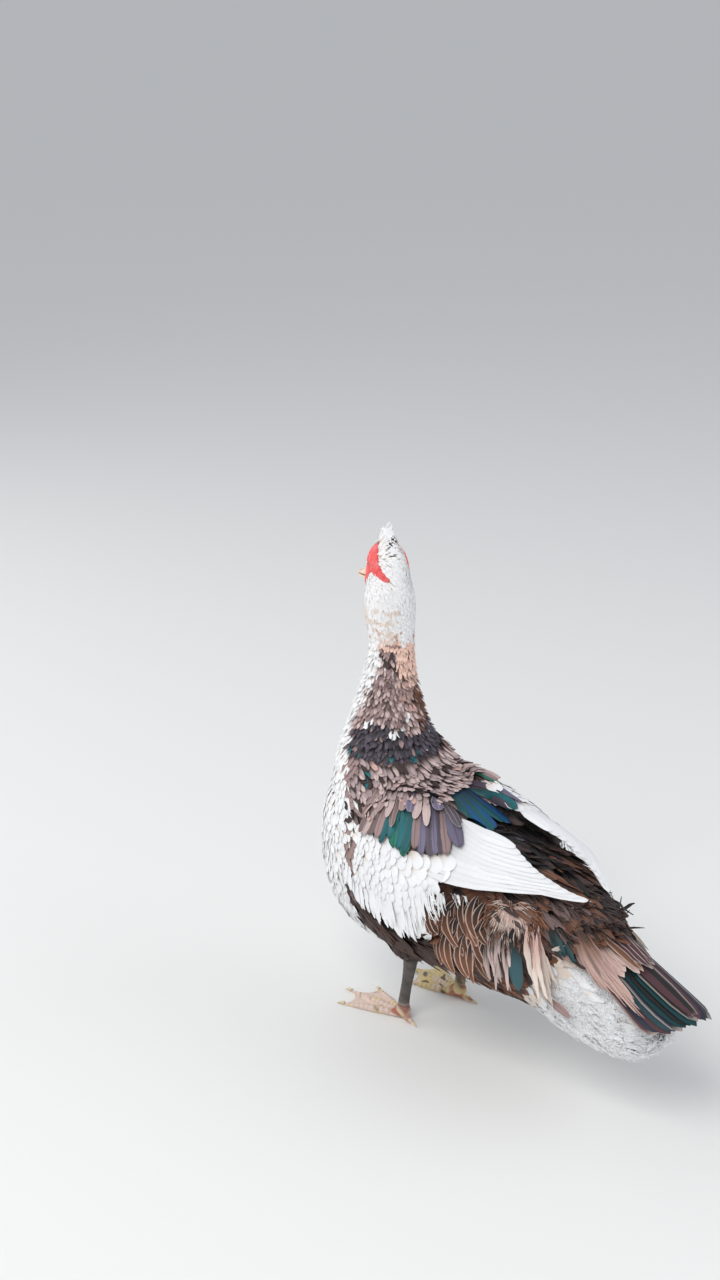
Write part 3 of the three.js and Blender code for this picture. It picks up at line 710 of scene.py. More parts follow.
def plumes(lines, ups, widths, shares, pairs, tints, thick, seed, slant=0.7):
    """Soft feathers: pairs of loose barbs on each shaft line, each barb a thin spike.

    Returns what add() takes.
    """
    count, rows = lines.shape[:2]
    rng = np.random.default_rng(seed)
    at = np.linspace(0.12, 0.99, pairs)[None] + rng.uniform(-0.4, 0.4, (count, pairs)) / pairs
    at = np.concatenate([at, at], 1).clip(0.02, 0.995)
    side_signs = np.repeat([-1.0, 1.0], pairs)[None]
    place = np.clip(np.searchsorted(shares, at) - 1, 0, rows - 2)
    part = ((at - shares[place]) / (shares[place + 1] - shares[place]))[:, :, None]
    index = np.arange(count)[:, None]
    spots = lines[index, place] * (1 - part) + lines[index, place + 1] * part
    ways = unit(np.gradient(lines, axis=1))[index, place]
    up = ups[index, place]
    sides = unit(np.cross(ways, up)) * side_signs[:, :, None]
    reach = widths[:, None] / 2 * (0.35 + 0.65 * np.sin(np.pi * np.clip(at, 0, 1) ** 0.8) ** 0.7)
    reach = (reach * rng.uniform(0.7, 1.25, reach.shape))[:, :, None]
    slants = slant + 0.5 * at[:, :, None] + rng.uniform(-0.15, 0.15, reach.shape)
    out = unit(sides * np.cos(slants) + ways * np.sin(slants) + up * rng.uniform(-0.2, 0.25, reach.shape))
    middle = spots + out * reach * 0.55
    tip = spots + unit(out + ways * 0.45) * reach - up * reach * 0.12
    cross = unit(np.cross(out, up))
    bodies = []
    for centre, radius in ((spots, thick), (middle, thick * 0.85)):
        bodies += [centre + cross * radius, centre - cross * radius, centre + up * radius * 1.2]
    bodies = np.stack(bodies + [tip], 2).reshape(-1, 7, 3)
    edge = np.concatenate([np.full(3, 0.0), np.full(3, 0.55), [1.0]])
    flat = np.empty((count, 2 * pairs, 7, 2))
    flat[..., 0] = 0.5 + 0.5 * side_signs[:, :, None] * edge
    flat[..., 1] = at[:, :, None]
    faces = [(0, 2, 1), (0, 1, 4, 3), (1, 2, 5, 4), (2, 0, 3, 5), (3, 4, 6), (4, 5, 6), (5, 3, 6)]
    tints = [np.repeat(tint, 2 * pairs, 0) for tint in tints]
    roots = np.repeat(lines[:, 0], 2 * pairs, 0)
    return (bodies, flat.reshape(-1, 7, 2), faces, *tints, None, roots)


skin_ground = Ground(skin, unwrap="OFBake")

plumage = Finish("plumage", Roughness=0.7)
parts = plumage.node("ShaderNodeSeparateXYZ", {}, plumage.node("ShaderNodeUVMap", {"uv_map": "vane"}))
along_vane = parts.other("Y")
tip_colour, root_colour, trim_colour = (plumage.attribute(layer) for layer in ("tint", "shade", "trim"))
gloss, root_reach, trimmed = (colour.other("Alpha") for colour in (tip_colour, root_colour, trim_colour))
from_shaft = (parts - 0.5).math("ABSOLUTE") * 2.0
barb_count = plumage.node("ShaderNodeAttribute", {"attribute_name": "length"}, output="Fac") * 7000.0
barbs = ((along_vane - from_shaft * 0.13) * barb_count + plumage.noise(300, 2.0) * 3.0).math("SINE")
shaft = 1.0 - from_shaft.rising(0.03, 0.13)
vane_colour = plumage.blend((1.0 - along_vane.rising(0.15, 0.7)) * root_reach, tip_colour, root_colour)
streaked = plumage.blend((barbs * 0.5 + 0.5) * 0.14 * plumage.noise(220), vane_colour, tuple(BLACK))
rim = from_shaft.rising(0.72, 0.98).math("MAXIMUM", along_vane.rising(0.93, 1.0)).math("MAXIMUM", shaft)
plumage.surface("Base Color", plumage.blend(rim * trimmed, streaked, trim_colour))
plumage.surface("Roughness", 0.72 - gloss * 0.42)
plumage.surface("Metallic", gloss * 0.45)
plumage.bump(barbs * 0.5 + shaft, 0.2, 0.0003)


def tinted(tip, root, count, seed, gloss=0.0, spread=0.08):
    """The same two colours for a group of feathers, each a little lighter or darker."""
    tone = 1 + spread * np.random.default_rng(seed).normal(size=(count, 1))
    tips, shades = (np.clip(np.broadcast_to(colour, (count, 3)) * tone, 0, 0.9) for colour in (tip, root))
    return np.column_stack([tips, np.full(count, gloss)]), np.column_stack([shades, np.ones(count)])


def trimming(colour, amount, count):
    """The colour of shafts and rims, and how much of it shows."""
    return np.column_stack([np.broadcast_to(colour, (count, 3)), np.full(count, amount)])


def listed(colours):
    """Tip colours from a list of colours, each with its gloss."""
    return np.array([(*colour, gloss) for colour, gloss in colours])


def sown(ground, spacing, zone, seed):
    """Roots on a ground with the normals there, their number, and a generator for what grows on them."""
    roots, normals = ground.scatter(spacing, zone, seed)
    return roots, normals, len(roots), np.random.default_rng(seed + 1)


def in_row(count, *spans):
    """Places in an even row, given as its first and last x, y and z."""
    return np.column_stack([np.linspace(*span, count) for span in spans])


def strewn(rng, count, *spans):
    """Places strewn through a box, given as its least and greatest x, y and z."""
    return np.column_stack([rng.uniform(*span, count) for span in spans])


def uneven_way(rng, count, way, amount):
    """One way for each feather, all about the same."""
    return np.array(way) + amount * rng.normal(size=(count, 3))


# Outline of the plumage: body, folded wings and vent out to the feathers' tips, as one surface.
# Mantle, wing coverts, scapulars and flank feathers lie over it. It is a guide only, and goes at the end.
WINGS = ("wing_left_cover", "wing_right_cover")
BLADES = ("wing_left_flight", "wing_right_flight")
hull = copied_nodes((*FLESH, "vent_plumage", *WINGS, *BLADES), "hull")
remeshed(hull, 0.0003, 0.002, 5)
modify(hull, "TRIANGULATE")
hull_ground = Ground(hull)
wing_solids = copied_nodes(WINGS, "wing_solids")
wing_ground = Ground(wing_solids)
blade_solids = copied_nodes(BLADES, "blade_solids")
blade_ground = Ground(blade_solids)


def off_blades(places, least=0.0025):
    return np.linalg.norm(blade_ground.settle(places)[0] - places, axis=1) > least


# Contour feathers: short arched vanes over head, neck and trunk, each rooted in the skin.
# They overlap like shingles and lie back from the bill over the crown, down the neck and along to the tail.
def lie(places):
    """The way that feathers point at each place."""
    x, y, z = places.T
    none = 0 * x
    body = np.column_stack([none, none + 1, np.interp(y, [-0.19, -0.12, 0.05], [-1.4, -0.35, -0.12])])
    down = np.column_stack([none, none, none - 1])
    way = mixed(body, down, np.interp(z, [0.225, 0.275], [0, 1]))
    way = mixed(way, HEAD_BACK + np.array([0, 0, -0.25]), np.interp(z, [0.400, 0.430], [0, 1]))
    crest = np.interp(z - 0.35 * ((places - NECK_AXIS) @ HEAD_BACK), [0.436, 0.452], [0, 1])
    return unit(mixed(way, HEAD_BACK * 0.2 + np.array([0, 0, 1]), crest))


def in_the_open(places, normals):
    """True where no wing lies close over the skin."""
    return np.array([
        wing_ground.tree.ray_cast(place, normal, 0.012)[0] is None
        for place, normal in zip(places.tolist(), normals.tolist())])


def contour_spacing(places):
    z = places[:, 2]
    heights = [0.19, 0.24, 0.27, 0.31, 0.36, 0.38, 0.40]
    spacing = np.interp(z, heights, [0.0042, 0.0031, 0.0022, 0.00185, 0.0016, 0.0013, 0.00115])
    spacing = np.where(z < 0.10, np.interp(z, [0.072, 0.10], [0.0034, 0.0042]), spacing)
    white = (places[:, 1] < -0.13) | ((places[:, 1] > 0.085) & (z < 0.16))
    return np.where(white, np.minimum(spacing, 0.0031), spacing)


def contour_zone(places):
    rump = (places[:, 1] > 0.045) & (places[:, 2] > 0.163)
    return ~bare(places) & ~rump


contour = Coat()
roots, normals = skin_ground.scatter(contour_spacing, contour_zone, 11)
open_skin = in_the_open(roots, normals)
roots, normals = roots[open_skin], normals[open_skin]
rng = np.random.default_rng(12)
count = len(roots)
height = roots[:, 2]
spacing = contour_spacing(roots)
ways = lie(roots) + np.interp(height, [0.44, 0.455], [0.10, 0.03])[:, None] * rng.normal(size=roots.shape)
ruffled = np.interp(height, [0.255, 0.275, 0.355, 0.375], [0.15, 1, 1, 0]) * (in_head(roots)[:, 1] > -0.012)
# How far up the coat's depth each tip stands, and how a feather rises to that along its length.
stands = np.clip(rng.normal(0.66, 0.05, count), 0.5, 0.9)
stands = stands + ruffled * (0.35 * rng.random(count) + 0.3 * ruffles(roots))
FLAT_LYING = np.array([0, 0.72, 0.88, 0.96, 1])
lifted = FLAT_LYING[None] * (1 - ruffled[:, None]) + SMALL[None] ** 0.8 * ruffled[:, None]
rises = 0.0002 + coat_depth(roots)[:, None] * lifted * stands[:, None]
headed = np.interp(height, [0.38, 0.41], [0, 1])
loose = (roots[:, 1] > 0.085) & (height < 0.168)
necked = np.interp(height, [0.24, 0.27, 0.36, 0.38], [0, 1, 1, 0])
lengths = spacing * (4.6 + 1.2 * headed + 3.0 * loose + 0.6 * necked) * rng.uniform(0.85, 1.15, count)
lengths += np.interp(height, [0.450, 0.455, 0.462, 0.475], [0, 0.004, 0.0015, -0.0015])
widths = spacing * (2.7 - 0.8 * headed - 0.5 * necked + 0.4 * ruffled - 0.5 * loose)
widths = widths * rng.uniform(0.85, 1.15, count)
lines, ups = skin_ground.lay(roots, normals, ways, lengths, SMALL, rises, cling=0.006)
tints = markings(roots, 13)
# Black strokes on the crown, where the tips of a few feathers show: the place and reach of each.
CROWN_STROKES = (
    ((-0.0004, -0.1481, 0.4647), 0.0022), ((0.0020, -0.1468, 0.4615), 0.0018),
    ((0.0043, -0.1456, 0.4586), 0.0017), ((0.0057, -0.1391, 0.4509), 0.0019))
for spot, reach in CROWN_STROKES:
    tints[0][np.linalg.norm(lines[:, 3] - spot, axis=1) < reach, :3] = BLACK
for group, tip_shape, arch, torn in ((necked > 0.5, 1.5, 0.25, 0.4), (necked <= 0.5, 2.1, 0.10, 0.25)):
    roll = (0.035 + 0.18 * ruffled[group]) * rng.normal(size=group.sum())
    bodies = vanes(lines[group], ups[group], widths[group], SMALL, blunt=tip_shape, arch=arch, roll=roll,
                   thick=0.00025, ragged=torn, seed=14)
    contour.add(*bodies, *(tint[group] for tint in tints))
contour.pieces("contour_feathers", replaced=("crest",))

# Bare face: a raised patch of coral red skin round each eye, with a prong behind it, down to the bill's root.
# It is pebbled with small warts, larger towards the bill, and folds into a round lid about each eye.
EYE_BACK, EYE_UP, EYE_RADIUS = -0.0135, 0.432, 0.0054
# How far the eye's middle lies under the skin, how wide the lids open, and how much of the ball shows.
EYE_SET_IN = 0.0022
LID_OPENING = 0.0043
BALL_SHOWS = 0.0011
RED = srgb(238, 84, 84)
ROSE = srgb(246, 138, 138)
ORANGE = srgb(240, 120, 78)


def keep_faces(piece, wanted):
    """Deletes every face whose middle is not wanted."""
    wanted_faces = wanted(read(piece.data.polygons, "center", 3))
    with editing(piece):
        bpy.ops.mesh.select_mode(type="FACE")
        bpy.ops.mesh.select_all(action="DESELECT")
    piece.data.polygons.foreach_set("select", ~wanted_faces)
    bpy.ops.object.mode_set(mode="EDIT")
    bpy.ops.mesh.delete(type="FACE")
    bpy.ops.object.mode_set(mode="OBJECT")


def set_points(piece, places):
    piece.data.vertices.foreach_set("co", places.ravel())
    piece.data.update()


def eye_middle(side):
    """The middle of an eyeball, set in so that it stands out a little less than its lids."""
    far = from_head(side * 0.05, EYE_BACK, EYE_UP)
    surface = np.array(skin_ground.tree.ray_cast(Vector(far), Vector(-side * HEAD_LEFT))[0][:])
    return surface - side * HEAD_LEFT * EYE_SET_IN


face = skin.copy()
face.data = skin.data.copy()
face.name = face.data.name = "face_skin"
bpy.context.scene.collection.objects.link(face)
keep_faces(face, lambda places: bare(places, 0.003))
with editing(face):
    for _ in range(2):
        bpy.ops.mesh.subdivide(number_cuts=1)
keep_faces(face, lambda places: bare(places, 0.0006))
modify(face, "SMOOTH", factor=0.5, iterations=4)
modify(face, "SOLIDIFY", thickness=0.0024, offset=0.25)
lids = []
for side in (1, -1):
    bpy.ops.mesh.primitive_torus_add(
        major_radius=0.0051, minor_radius=0.0011, major_segments=32, minor_segments=10,
        location=eye_middle(side) + side * HEAD_LEFT * 0.0032, rotation=(0, math.pi / 2, HEAD_TURN))
    lids.append(bpy.context.active_object)
pick(*lids, face)
bpy.ops.object.join()
remeshed(face, 0, 0.0005, 5)
places, normals = points_of(face), normals_of(face)
# Warts: each swells up from its middle. They stay clear of the lids.
warts, _, count, rng = sown(skin_ground, 0.0021, lambda spots: bare(spots, 0.001), 121)
swell = np.zeros(len(places))
for wart, size in zip(warts, rng.uniform(0.0009, 0.0016, count)):
    away = places - wart
    flat_away = (away**2).sum(1) - (away * normals).sum(1) ** 2
    near = (away**2).sum(1) < (3 * size) ** 2
    swell = np.maximum(swell, near * 0.55 * size * np.sqrt(np.clip(1 - flat_away / size**2, 0, 1)))
left, back, up = in_head(places).T
from_eye = np.hypot(back - EYE_BACK, up - EYE_UP)
swell *= np.interp(from_eye, [0.0062, 0.0085], [0, 1]) * np.interp(back, [-0.02, 0.0, 0.012], [1, 0.8, 0.4])
places = places + normals * swell[:, None]
for side in (1, -1):
    middle = in_head(eye_middle(side)[None])[0]
    depth = side * (left - middle[0])
    floor_depth = np.sqrt(np.clip(EYE_RADIUS**2 - from_eye**2, 0, None)) - BALL_SHOWS
    sunk = (from_eye < LID_OPENING) & (depth > floor_depth) & (left * side > 0)
    places[sunk] -= side * HEAD_LEFT * (depth - floor_depth)[sunk, None]
set_points(face, places)
smooth_shaded(face)
left, back, up = in_head(places).T
colours = mixed(RED, ROSE, 0.5 * np.clip(0.55 * wobble(places, 0.006, 123) + 0.3, 0, 1))
colours = mixed(colours, ORANGE, np.interp(back, [-0.036, -0.026], [0.8, 0]))
# Painted shade: the skin is darker in the low places between the warts.
colours *= np.interp(swell, [0, 0.0003], [0.80, 1.0])[:, None]
colour_points(face, colours)
face_finish = painted("red face skin", Roughness=0.48, Subsurface_Weight=0.12, Subsurface_Scale=0.002)
face_finish.bump(face_finish.warts(1900), 0.25, 0.0003)
face_finish.dress(face)
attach(face, "root")
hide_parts("face_skin_left", "face_skin_right")

# Eyes: glossy balls in the lids, each with a round black pupil in a yellow-brown iris.
# Their pole points outwards, so that pupil and iris are rings about it.
AMBER = srgb(150, 104, 46)
EYE_BROWN = srgb(58, 36, 24)
# Degrees from the eye's pole.
PUPIL_EDGE = 22.5
IRIS_EDGE = 43.5
eye_finish = painted("wet eye", Roughness=0.06, Coat_Weight=1.0, Coat_Roughness=0.02)
for side, name in ((1, "eye_left"), (-1, "eye_right")):
    bpy.ops.mesh.primitive_uv_sphere_add(
        segments=40, ring_count=60, radius=EYE_RADIUS, location=eye_middle(side),
        rotation=(0, side * math.pi / 2, HEAD_TURN))
    eye = bpy.context.active_object
    bpy.ops.object.transform_apply(location=True, rotation=True, scale=True)
    smooth_shaded(eye)
    eye.name = eye.data.name = "eyeball_" + name
    outward = (points_of(eye) - eye_middle(side)) @ (side * HEAD_LEFT) / EYE_RADIUS
    angle = np.degrees(np.arccos(np.clip(outward, -1, 1)))[:, None]
    iris = AMBER * np.interp(angle, [22, 34, 43], [0.75, 1.1, 0.7])
    colours = np.where(angle < PUPIL_EDGE, BLACK * 0.3, np.where(angle > IRIS_EDGE, EYE_BROWN, iris))
    colour_points(eye, colours)
    eye_finish.dress(eye)
    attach(eye, "root")
    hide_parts(name)

# Bill: two horny halves, cream pink with an orange root, a slit nostril on each side and a nail at the tip.
# Each is the solid of that half, rounded off, and is held in the face skin.
BILL_CREAM = srgb(236, 212, 190)
BILL_ORANGE = srgb(232, 150, 112)
BILL_GREY = srgb(150, 128, 124)
bill_finish = painted("horn of the bill", Roughness=0.4)
bill_finish.bump(bill_finish.noise(900, 2.0, (1, 1, 3)), 0.12, 0.0003)
for name in ("bill_upper", "bill_lower"):
    half = copied_nodes([name], name + "_horn")
    remeshed(half, 0, 0.0006, 8)
    places, normals = points_of(half), normals_of(half)
    left, back, up = in_head(places).T
    if name == "bill_upper":
        nostril = ((back + 0.0445) / 0.0034) ** 2 + ((up - 0.4205 - 0.12 * (back + 0.0445)) / 0.0012) ** 2
        nostril = np.clip(1 - nostril, 0, 1) * (np.abs(left) > 0.003)
        places -= normals * (0.0012 * nostril)[:, None]
        nail = ((back + 0.0765) / 0.0040) ** 2 + (left / 0.0036) ** 2
        places += normals * (0.0006 * np.clip(1 - nail, 0, 1) ** 0.5 * (normals[:, 2] > 0))[:, None]
    set_points(half, places)
    smooth_shaded(half)
    colours = mixed(BILL_CREAM, BILL_ORANGE, np.interp(back, [-0.052, -0.034], [0, 1]))
    if name == "bill_upper":
        colours = mixed(colours, BILL_GREY, np.clip(wobble(places, 0.007, 131) - 0.5, 0, 1) * 0.45)
        # The nostril slit is darkened: painted shade in its hollow.
        colours = colours * (1 - nostril[:, None] * 0.8)
    colour_points(half, colours)
    bill_finish.dress(half)
    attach(half, "root")
    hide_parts(name)

# Legs: bare shanks and webbed feet in scaly skin, grey on the left shank and mottled yellow and pink below.
# Each leg is the solids of its shank and foot, grown together, with the plates of its scales pressed in.
FOOT_YELLOW = srgb(222, 200, 144)
FOOT_PINK = srgb(224, 200, 186)
FOOT_RED = srgb(172, 108, 84)
FOOT_BLACK = srgb(62, 50, 44)
SHANK_GREY = srgb(84, 79, 75)
CLAW_HORN = srgb(206, 190, 160)
ANKLES = {"left": (0.034, -0.0935, 1), "right": (-0.0325, -0.0830, -1)}
FOOT_TURN = 3
# Each toe: its angle from straight ahead in degrees, its length and its thickness at the tip.
TOES = ((-21, 0.0575, 0.0022), (1, 0.072, 0.0023), (22, 0.065, 0.0022), (168, 0.0198, 0.0017))
foot_finish = painted("scaly leg skin", Roughness=0.55)
foot_finish.bump(foot_finish.warts(1000), 0.5, 0.0005)
claw_finish = Finish("horn of the claws", Roughness=0.35, Base_Color=(*CLAW_HORN, 1))


def toe_way(side, angle):
    """The way a toe points, as seen from above."""
    turned = math.radians(side * angle)
    heading = math.radians(side * FOOT_TURN)
    x, y = math.sin(turned), -math.cos(turned)
    return np.array([
        x * math.cos(heading) - y * math.sin(heading), x * math.sin(heading) + y * math.cos(heading), 0])


def grooves(rows, columns):
    """1 on a plate and 0 in the grooves round it, in rows that are set off by half a plate."""
    columns = columns + 0.5 * (np.floor(rows) % 2)
    edge = 0.5 - np.maximum(np.abs(rows % 1 - 0.5), np.abs(columns % 1 - 0.5))
    return np.clip(edge / 0.16, 0, 1)


def horn(start, way, length, radius):
    """Corners and faces of a claw that tapers and bends down."""
    rings = []
    side_way = np.cross(way, [0, 0, 1])
    for share in np.linspace(0, 1, 7):
        middle = start + way * length * share + np.array([0, 0, -0.0016 * share**2])
        size = radius * (1 - share**1.6) + 0.0002
        for turn in np.linspace(0, 2 * math.pi, 9)[:-1]:
            aside = side_way * size * math.cos(turn) * 0.8
            rings.append(middle + aside + np.array([0, 0, size * math.sin(turn)]))
    corners = np.array(rings)
    corners[:, 2] = np.maximum(corners[:, 2], 0.0001)
    faces = []
    for ring in range(0, 48, 8):
        for k in range(8):
            after = ring + (k + 1) % 8
            faces.append((ring + k, after, after + 8, ring + k + 8))
    return corners, faces + [tuple(range(7, -1, -1)), tuple(range(48, 56))]


claw_corners, claw_faces = [], []
for name, (ankle_x, ankle_y, side) in ANKLES.items():
    leg = copied_nodes((f"shank_{name}", f"foot_{name}"), f"leg_{name}")
    # The shank's upper end runs on into the thigh's feathers.
    places = points_of(leg)
    places[places[:, 2] > 0.066, 2] += 0.012
    set_points(leg, places)
    remeshed(leg, 0.0003, 0.0006, 4)
    places, normals = points_of(leg), normals_of(leg)
    from_ankle = places - [ankle_x, ankle_y, 0]
    x, y, z = from_ankle.T
    out = np.hypot(x, y)
    shank_back = np.interp(z, [0.015, 0.075], [0, 0.009])
    round_leg = np.arctan2(x, y - shank_back) / (2 * math.pi) * 8
    on_shank = z > 0.012
    pressed = on_shank * (1 - grooves(z / 0.0029, round_leg)) * 0.00032
    on_toe = np.zeros(len(places), bool)
    for angle, length, thick in TOES:
        way = toe_way(side, angle)
        ahead = from_ankle @ way
        beside = np.abs(from_ankle @ np.cross(way, [0, 0, 1.0]))
        on_toe |= (ahead > 0.004) & (beside < np.interp(ahead, [0, length], [0.0045, thick]))
    ridge = on_toe & ~on_shank & (normals[:, 2] > -0.2) & (z > 0.0015)
    pressed += ridge * (1 - grooves(out / 0.0026, 0.5 + 0 * out)) * 0.0004
    web = ~on_toe & ~on_shank
    pressed += web * 0.00012 * (1 + wobble(places, 0.002, 141))
    places = places - normals * pressed[:, None]
    places[:, 2] = np.maximum(places[:, 2], 0)
    set_points(leg, places)
    smooth_shaded(leg)
    patches = wobble(places, 0.009, 142 + side)
    spots = wobble(places, 0.006, 144 + side)
    web_colour, toe_colour = (FOOT_PINK, FOOT_PINK * 0.95) if side > 0 else (FOOT_YELLOW, FOOT_YELLOW * 0.9)
    colours = np.where(on_toe[:, None], toe_colour, web_colour)
    colours = mixed(colours, FOOT_YELLOW if side > 0 else FOOT_PINK, np.clip(patches - 0.1, 0, 0.7))
    darkness = np.clip((spots - (0.9 if side > 0 else 0.35)) * 1.6, 0, 0.5 if side > 0 else 0.85)
    colours = mixed(colours, FOOT_BLACK, darkness * (out > 0.008))
    heel = np.clip((0.016 - out) / 0.004, 0, 1) * (z < 0.016) * np.clip(spots + 0.6, 0, 1)
    colours = mixed(colours, FOOT_RED, heel)
    shank_colour = SHANK_GREY if side > 0 else FOOT_YELLOW * 0.5
    speckled = shank_colour * (1 + 0.25 * np.clip(spots, -1, 1))[:, None]
    if side < 0:
        speckled = mixed(speckled, FOOT_BLACK, np.clip(spots + 0.3, 0, 0.8))
    colours = mixed(colours, speckled, np.interp(z, [0.008, 0.020], [0, 1]))
    # Painted shade: the skin is darker in the grooves between the scales, the deeper the darker.
    colours = colours * np.interp(pressed, [0, 0.0003], [1, 0.86])[:, None]
    colour_points(leg, np.clip(colours, 0, 0.9))
    foot_finish.dress(leg)
    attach(leg, "root")
    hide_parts(f"shank_{name}", f"foot_{name}")
    for angle, length, thick in TOES:
        way = toe_way(side, angle)
        start = np.array([ankle_x, ankle_y, 0]) + way * (length - 0.0035) + np.array([0, 0, thick * 0.95])
        corners, faces = horn(start, way, 0.0085 if angle < 90 else 0.006, thick * 0.85)
        claw_faces += [tuple(corner + sum(map(len, claw_corners)) for corner in one) for one in faces]
        claw_corners.append(corners)
claw_mesh = bpy.data.meshes.new("claws")
claw_mesh.from_pydata(np.concatenate(claw_corners).tolist(), [], claw_faces)
claws = bpy.data.objects.new("claws", claw_mesh)
bpy.context.scene.collection.objects.link(claws)
pick(claws)
bpy.ops.object.shade_smooth_by_angle(angle=math.radians(50))
claw_finish.dress(claws)
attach(claws, "root")

# Mantle: a cape of pointed mauve feathers with dark roots, from the collar over both shoulders; the mauve is
# partly painted reflection of their gloss.
# Each grows from the outline of the back and lies backwards and outwards. The first two lists say how
# high the mantle's lower edge is on each wing, from front to back.
MANTLE_EDGE_LEFT = (
    [-0.140, -0.132, -0.113, -0.103, -0.081, -0.062, -0.042, -0.026, -0.013, -0.004, 0.004, 0.017],
    [0.236, 0.228, 0.219, 0.206, 0.209, 0.205, 0.206, 0.209, 0.212, 0.216, 0.220, 0.225])
MANTLE_EDGE_RIGHT = (
    [-0.140, -0.132, -0.113, -0.095, -0.075, -0.055, -0.040],
    [0.236, 0.228, 0.222, 0.220, 0.228, 0.240, 0.255])
# A greyed mauve for the mantle, partly its own tone and partly painted reflection of its gloss.
MANTLE_MAUVE_AND_SHEEN = srgb(176, 156, 156)


def above_mantle_edge(places):
    x, y, z = places.T
    edge = np.where(x > 0, np.interp(y, *MANTLE_EDGE_LEFT), np.interp(y, *MANTLE_EDGE_RIGHT))
    return z > edge


# Where the mantle's last row is rooted, from the right shoulder to the left one.
MANTLE_END = (
    [-0.070, -0.050, -0.036, -0.012, 0.0, 0.020, 0.032, 0.0405, 0.0475, 0.070],
    [-0.123, -0.102, -0.076, -0.078, -0.074, -0.062, -0.057, -0.067, -0.098, -0.118])


def mantle_zone(places):
    x, y, z = places.T
    behind = np.degrees(np.arctan2(np.abs(x), -(y - NECK_AXIS[1]))) > 96
    level = (z > 0.218) & (z < 0.264)
    return above_mantle_edge(places) & level & (y < np.interp(x, *MANTLE_END)) & behind


mantle = Coat()
roots, normals, count, rng = sown(hull_ground, 0.0036, mantle_zone, 21)
outward = np.clip(roots[:, :1] / 0.05, -1, 1) * [[0.7, 0, 0]]
ways = np.array([0, 1, -0.1]) + outward + 0.14 * rng.normal(size=roots.shape)
lengths = rng.uniform(0.014, 0.019, count)
rises = -0.0030 + MIDDLE[None] ** 0.6 * rng.uniform(0.0056, 0.0074, count)[:, None]
lines, ups = hull_ground.lay(roots, normals, ways, lengths, MIDDLE, rises)
bodies = vanes(lines, ups, rng.uniform(0.0055, 0.0075, count), MIDDLE, blunt=1.7, arch=0.3,
               roll=0.2 * rng.normal(size=count), ragged=0.35, seed=23)
patchy = wobble(roots, 0.012, 24) + 0.9 * rng.normal(size=count)
tips, shades = tinted(MANTLE_MAUVE_AND_SHEEN, UMBER, count, 25)
tips[patchy > 0.2, :3] = PALE_MAUVE * 1.1
tips[patchy > 2.0, :3] = PINK_TAN
tips[patchy < -1.3, :3] = UMBER
glint = (patchy > -0.35) & (patchy < -0.18) & (roots[:, 0] > 0.03)
tips[glint] = [*TEAL, 0.5]
# Umber rims: painted shade in the gaps between the mantle's feathers.
mantle.add(*bodies, tips, shades, trimming(UMBER * 0.8, 0.35, count))
mantle.pieces("mantle_feathers")

# Wing coverts: smooth white shingles over each folded wing, small at the shoulder and broad behind.
# Those on the lower edge hang over the flank in a ragged fringe. Under the mantle's edge they are mauve.
wings = Coat()


def wing_zone(places):
    found, _, _ = wing_ground.settle(places)
    close = np.linalg.norm(found - places, axis=1) < 0.0013
    outer = np.abs(places[:, 0]) > np.interp(places[:, 2], [0.20, 0.24], [0.050, 0.026])
    faces_out = hull_ground.settle(places)[1][:, 2] > -0.15
    behind = (places[:, 1] > -0.024) & (places[:, 2] < 0.196)
    return close & outer & faces_out & ~behind


def covert_spacing(places):
    return np.interp(places[:, 1], [-0.13, -0.09, -0.02], [0.0034, 0.0048, 0.0068])


WING_SLOPE = ([-0.13, -0.06, 0.0, 0.1], [-0.55, -0.5, -0.15, -0.12])
# Where the tips of the ragged lower edge are, from front to back, and how high.
FRINGE_Y = [-0.118, -0.095, -0.075, -0.060, -0.050, -0.044, -0.037, -0.031, -0.027, -0.020, -0.014]
FRINGE_Z = [0.150, 0.136, 0.136, 0.136, 0.132, 0.127, 0.140, 0.130, 0.132, 0.150, 0.158]
MANTLE_OVERLAP = [0, 0, 0.006]
roots, normals, _, rng = sown(hull_ground, covert_spacing, wing_zone, 31)
covered = above_mantle_edge(roots - MANTLE_OVERLAP)
kept = ~(covered & (roots[:, 1] > -0.04)) & (roots[:, 1] < -0.018)
kept &= roots[:, 2] > np.interp(roots[:, 1], FRINGE_Y, FRINGE_Z) + 0.013
roots, normals, covered = roots[kept], normals[kept], covered[kept]
count = len(roots)
spacing = covert_spacing(roots)
sides = np.sign(roots[:, 0])
inward = np.interp(roots[:, 1], [-0.02, 0.01, 0.05, 0.11], [0, -0.32, -0.6, -0.8])
ways = np.column_stack([sides * inward, np.ones(count), np.interp(roots[:, 1], *WING_SLOPE)])
ways = ways + 0.05 * rng.normal(size=roots.shape)
lengths = spacing * rng.uniform(3.6, 4.2, count)
rises = -0.0028 - 0.002 * covered[:, None] + MIDDLE[None] ** 0.6 * rng.uniform(0.0026, 0.0031, count)[:, None]
lines, ups = hull_ground.lay(roots, normals, ways, lengths, MIDDLE, rises, least_turn=0.8)
bodies = vanes(lines, ups, spacing * 2.4, MIDDLE, blunt=3.0, arch=0.07, across=WIDE_RING,
               roll=0.03 * rng.normal(size=count), ragged=0.12, seed=33)
tips, shades = tinted(WHITE, CREAM, count, 34, spread=0.03)
brown = (roots[:, 1] < -0.122) & (np.abs(roots[:, 2] - 0.177) < 0.02)
tips[brown, :3] = PINK_TAN * 0.5
shades[brown, :3] = UMBER
tips[covered, :3] = MAUVE * 0.4
shades[covered, :3] = UMBER
# Pale grey rims and shafts on the white coverts: painted shade that marks their edges.
wings.add(*bodies, tips, shades, trimming(WHITE * 0.85, 0.15, count))

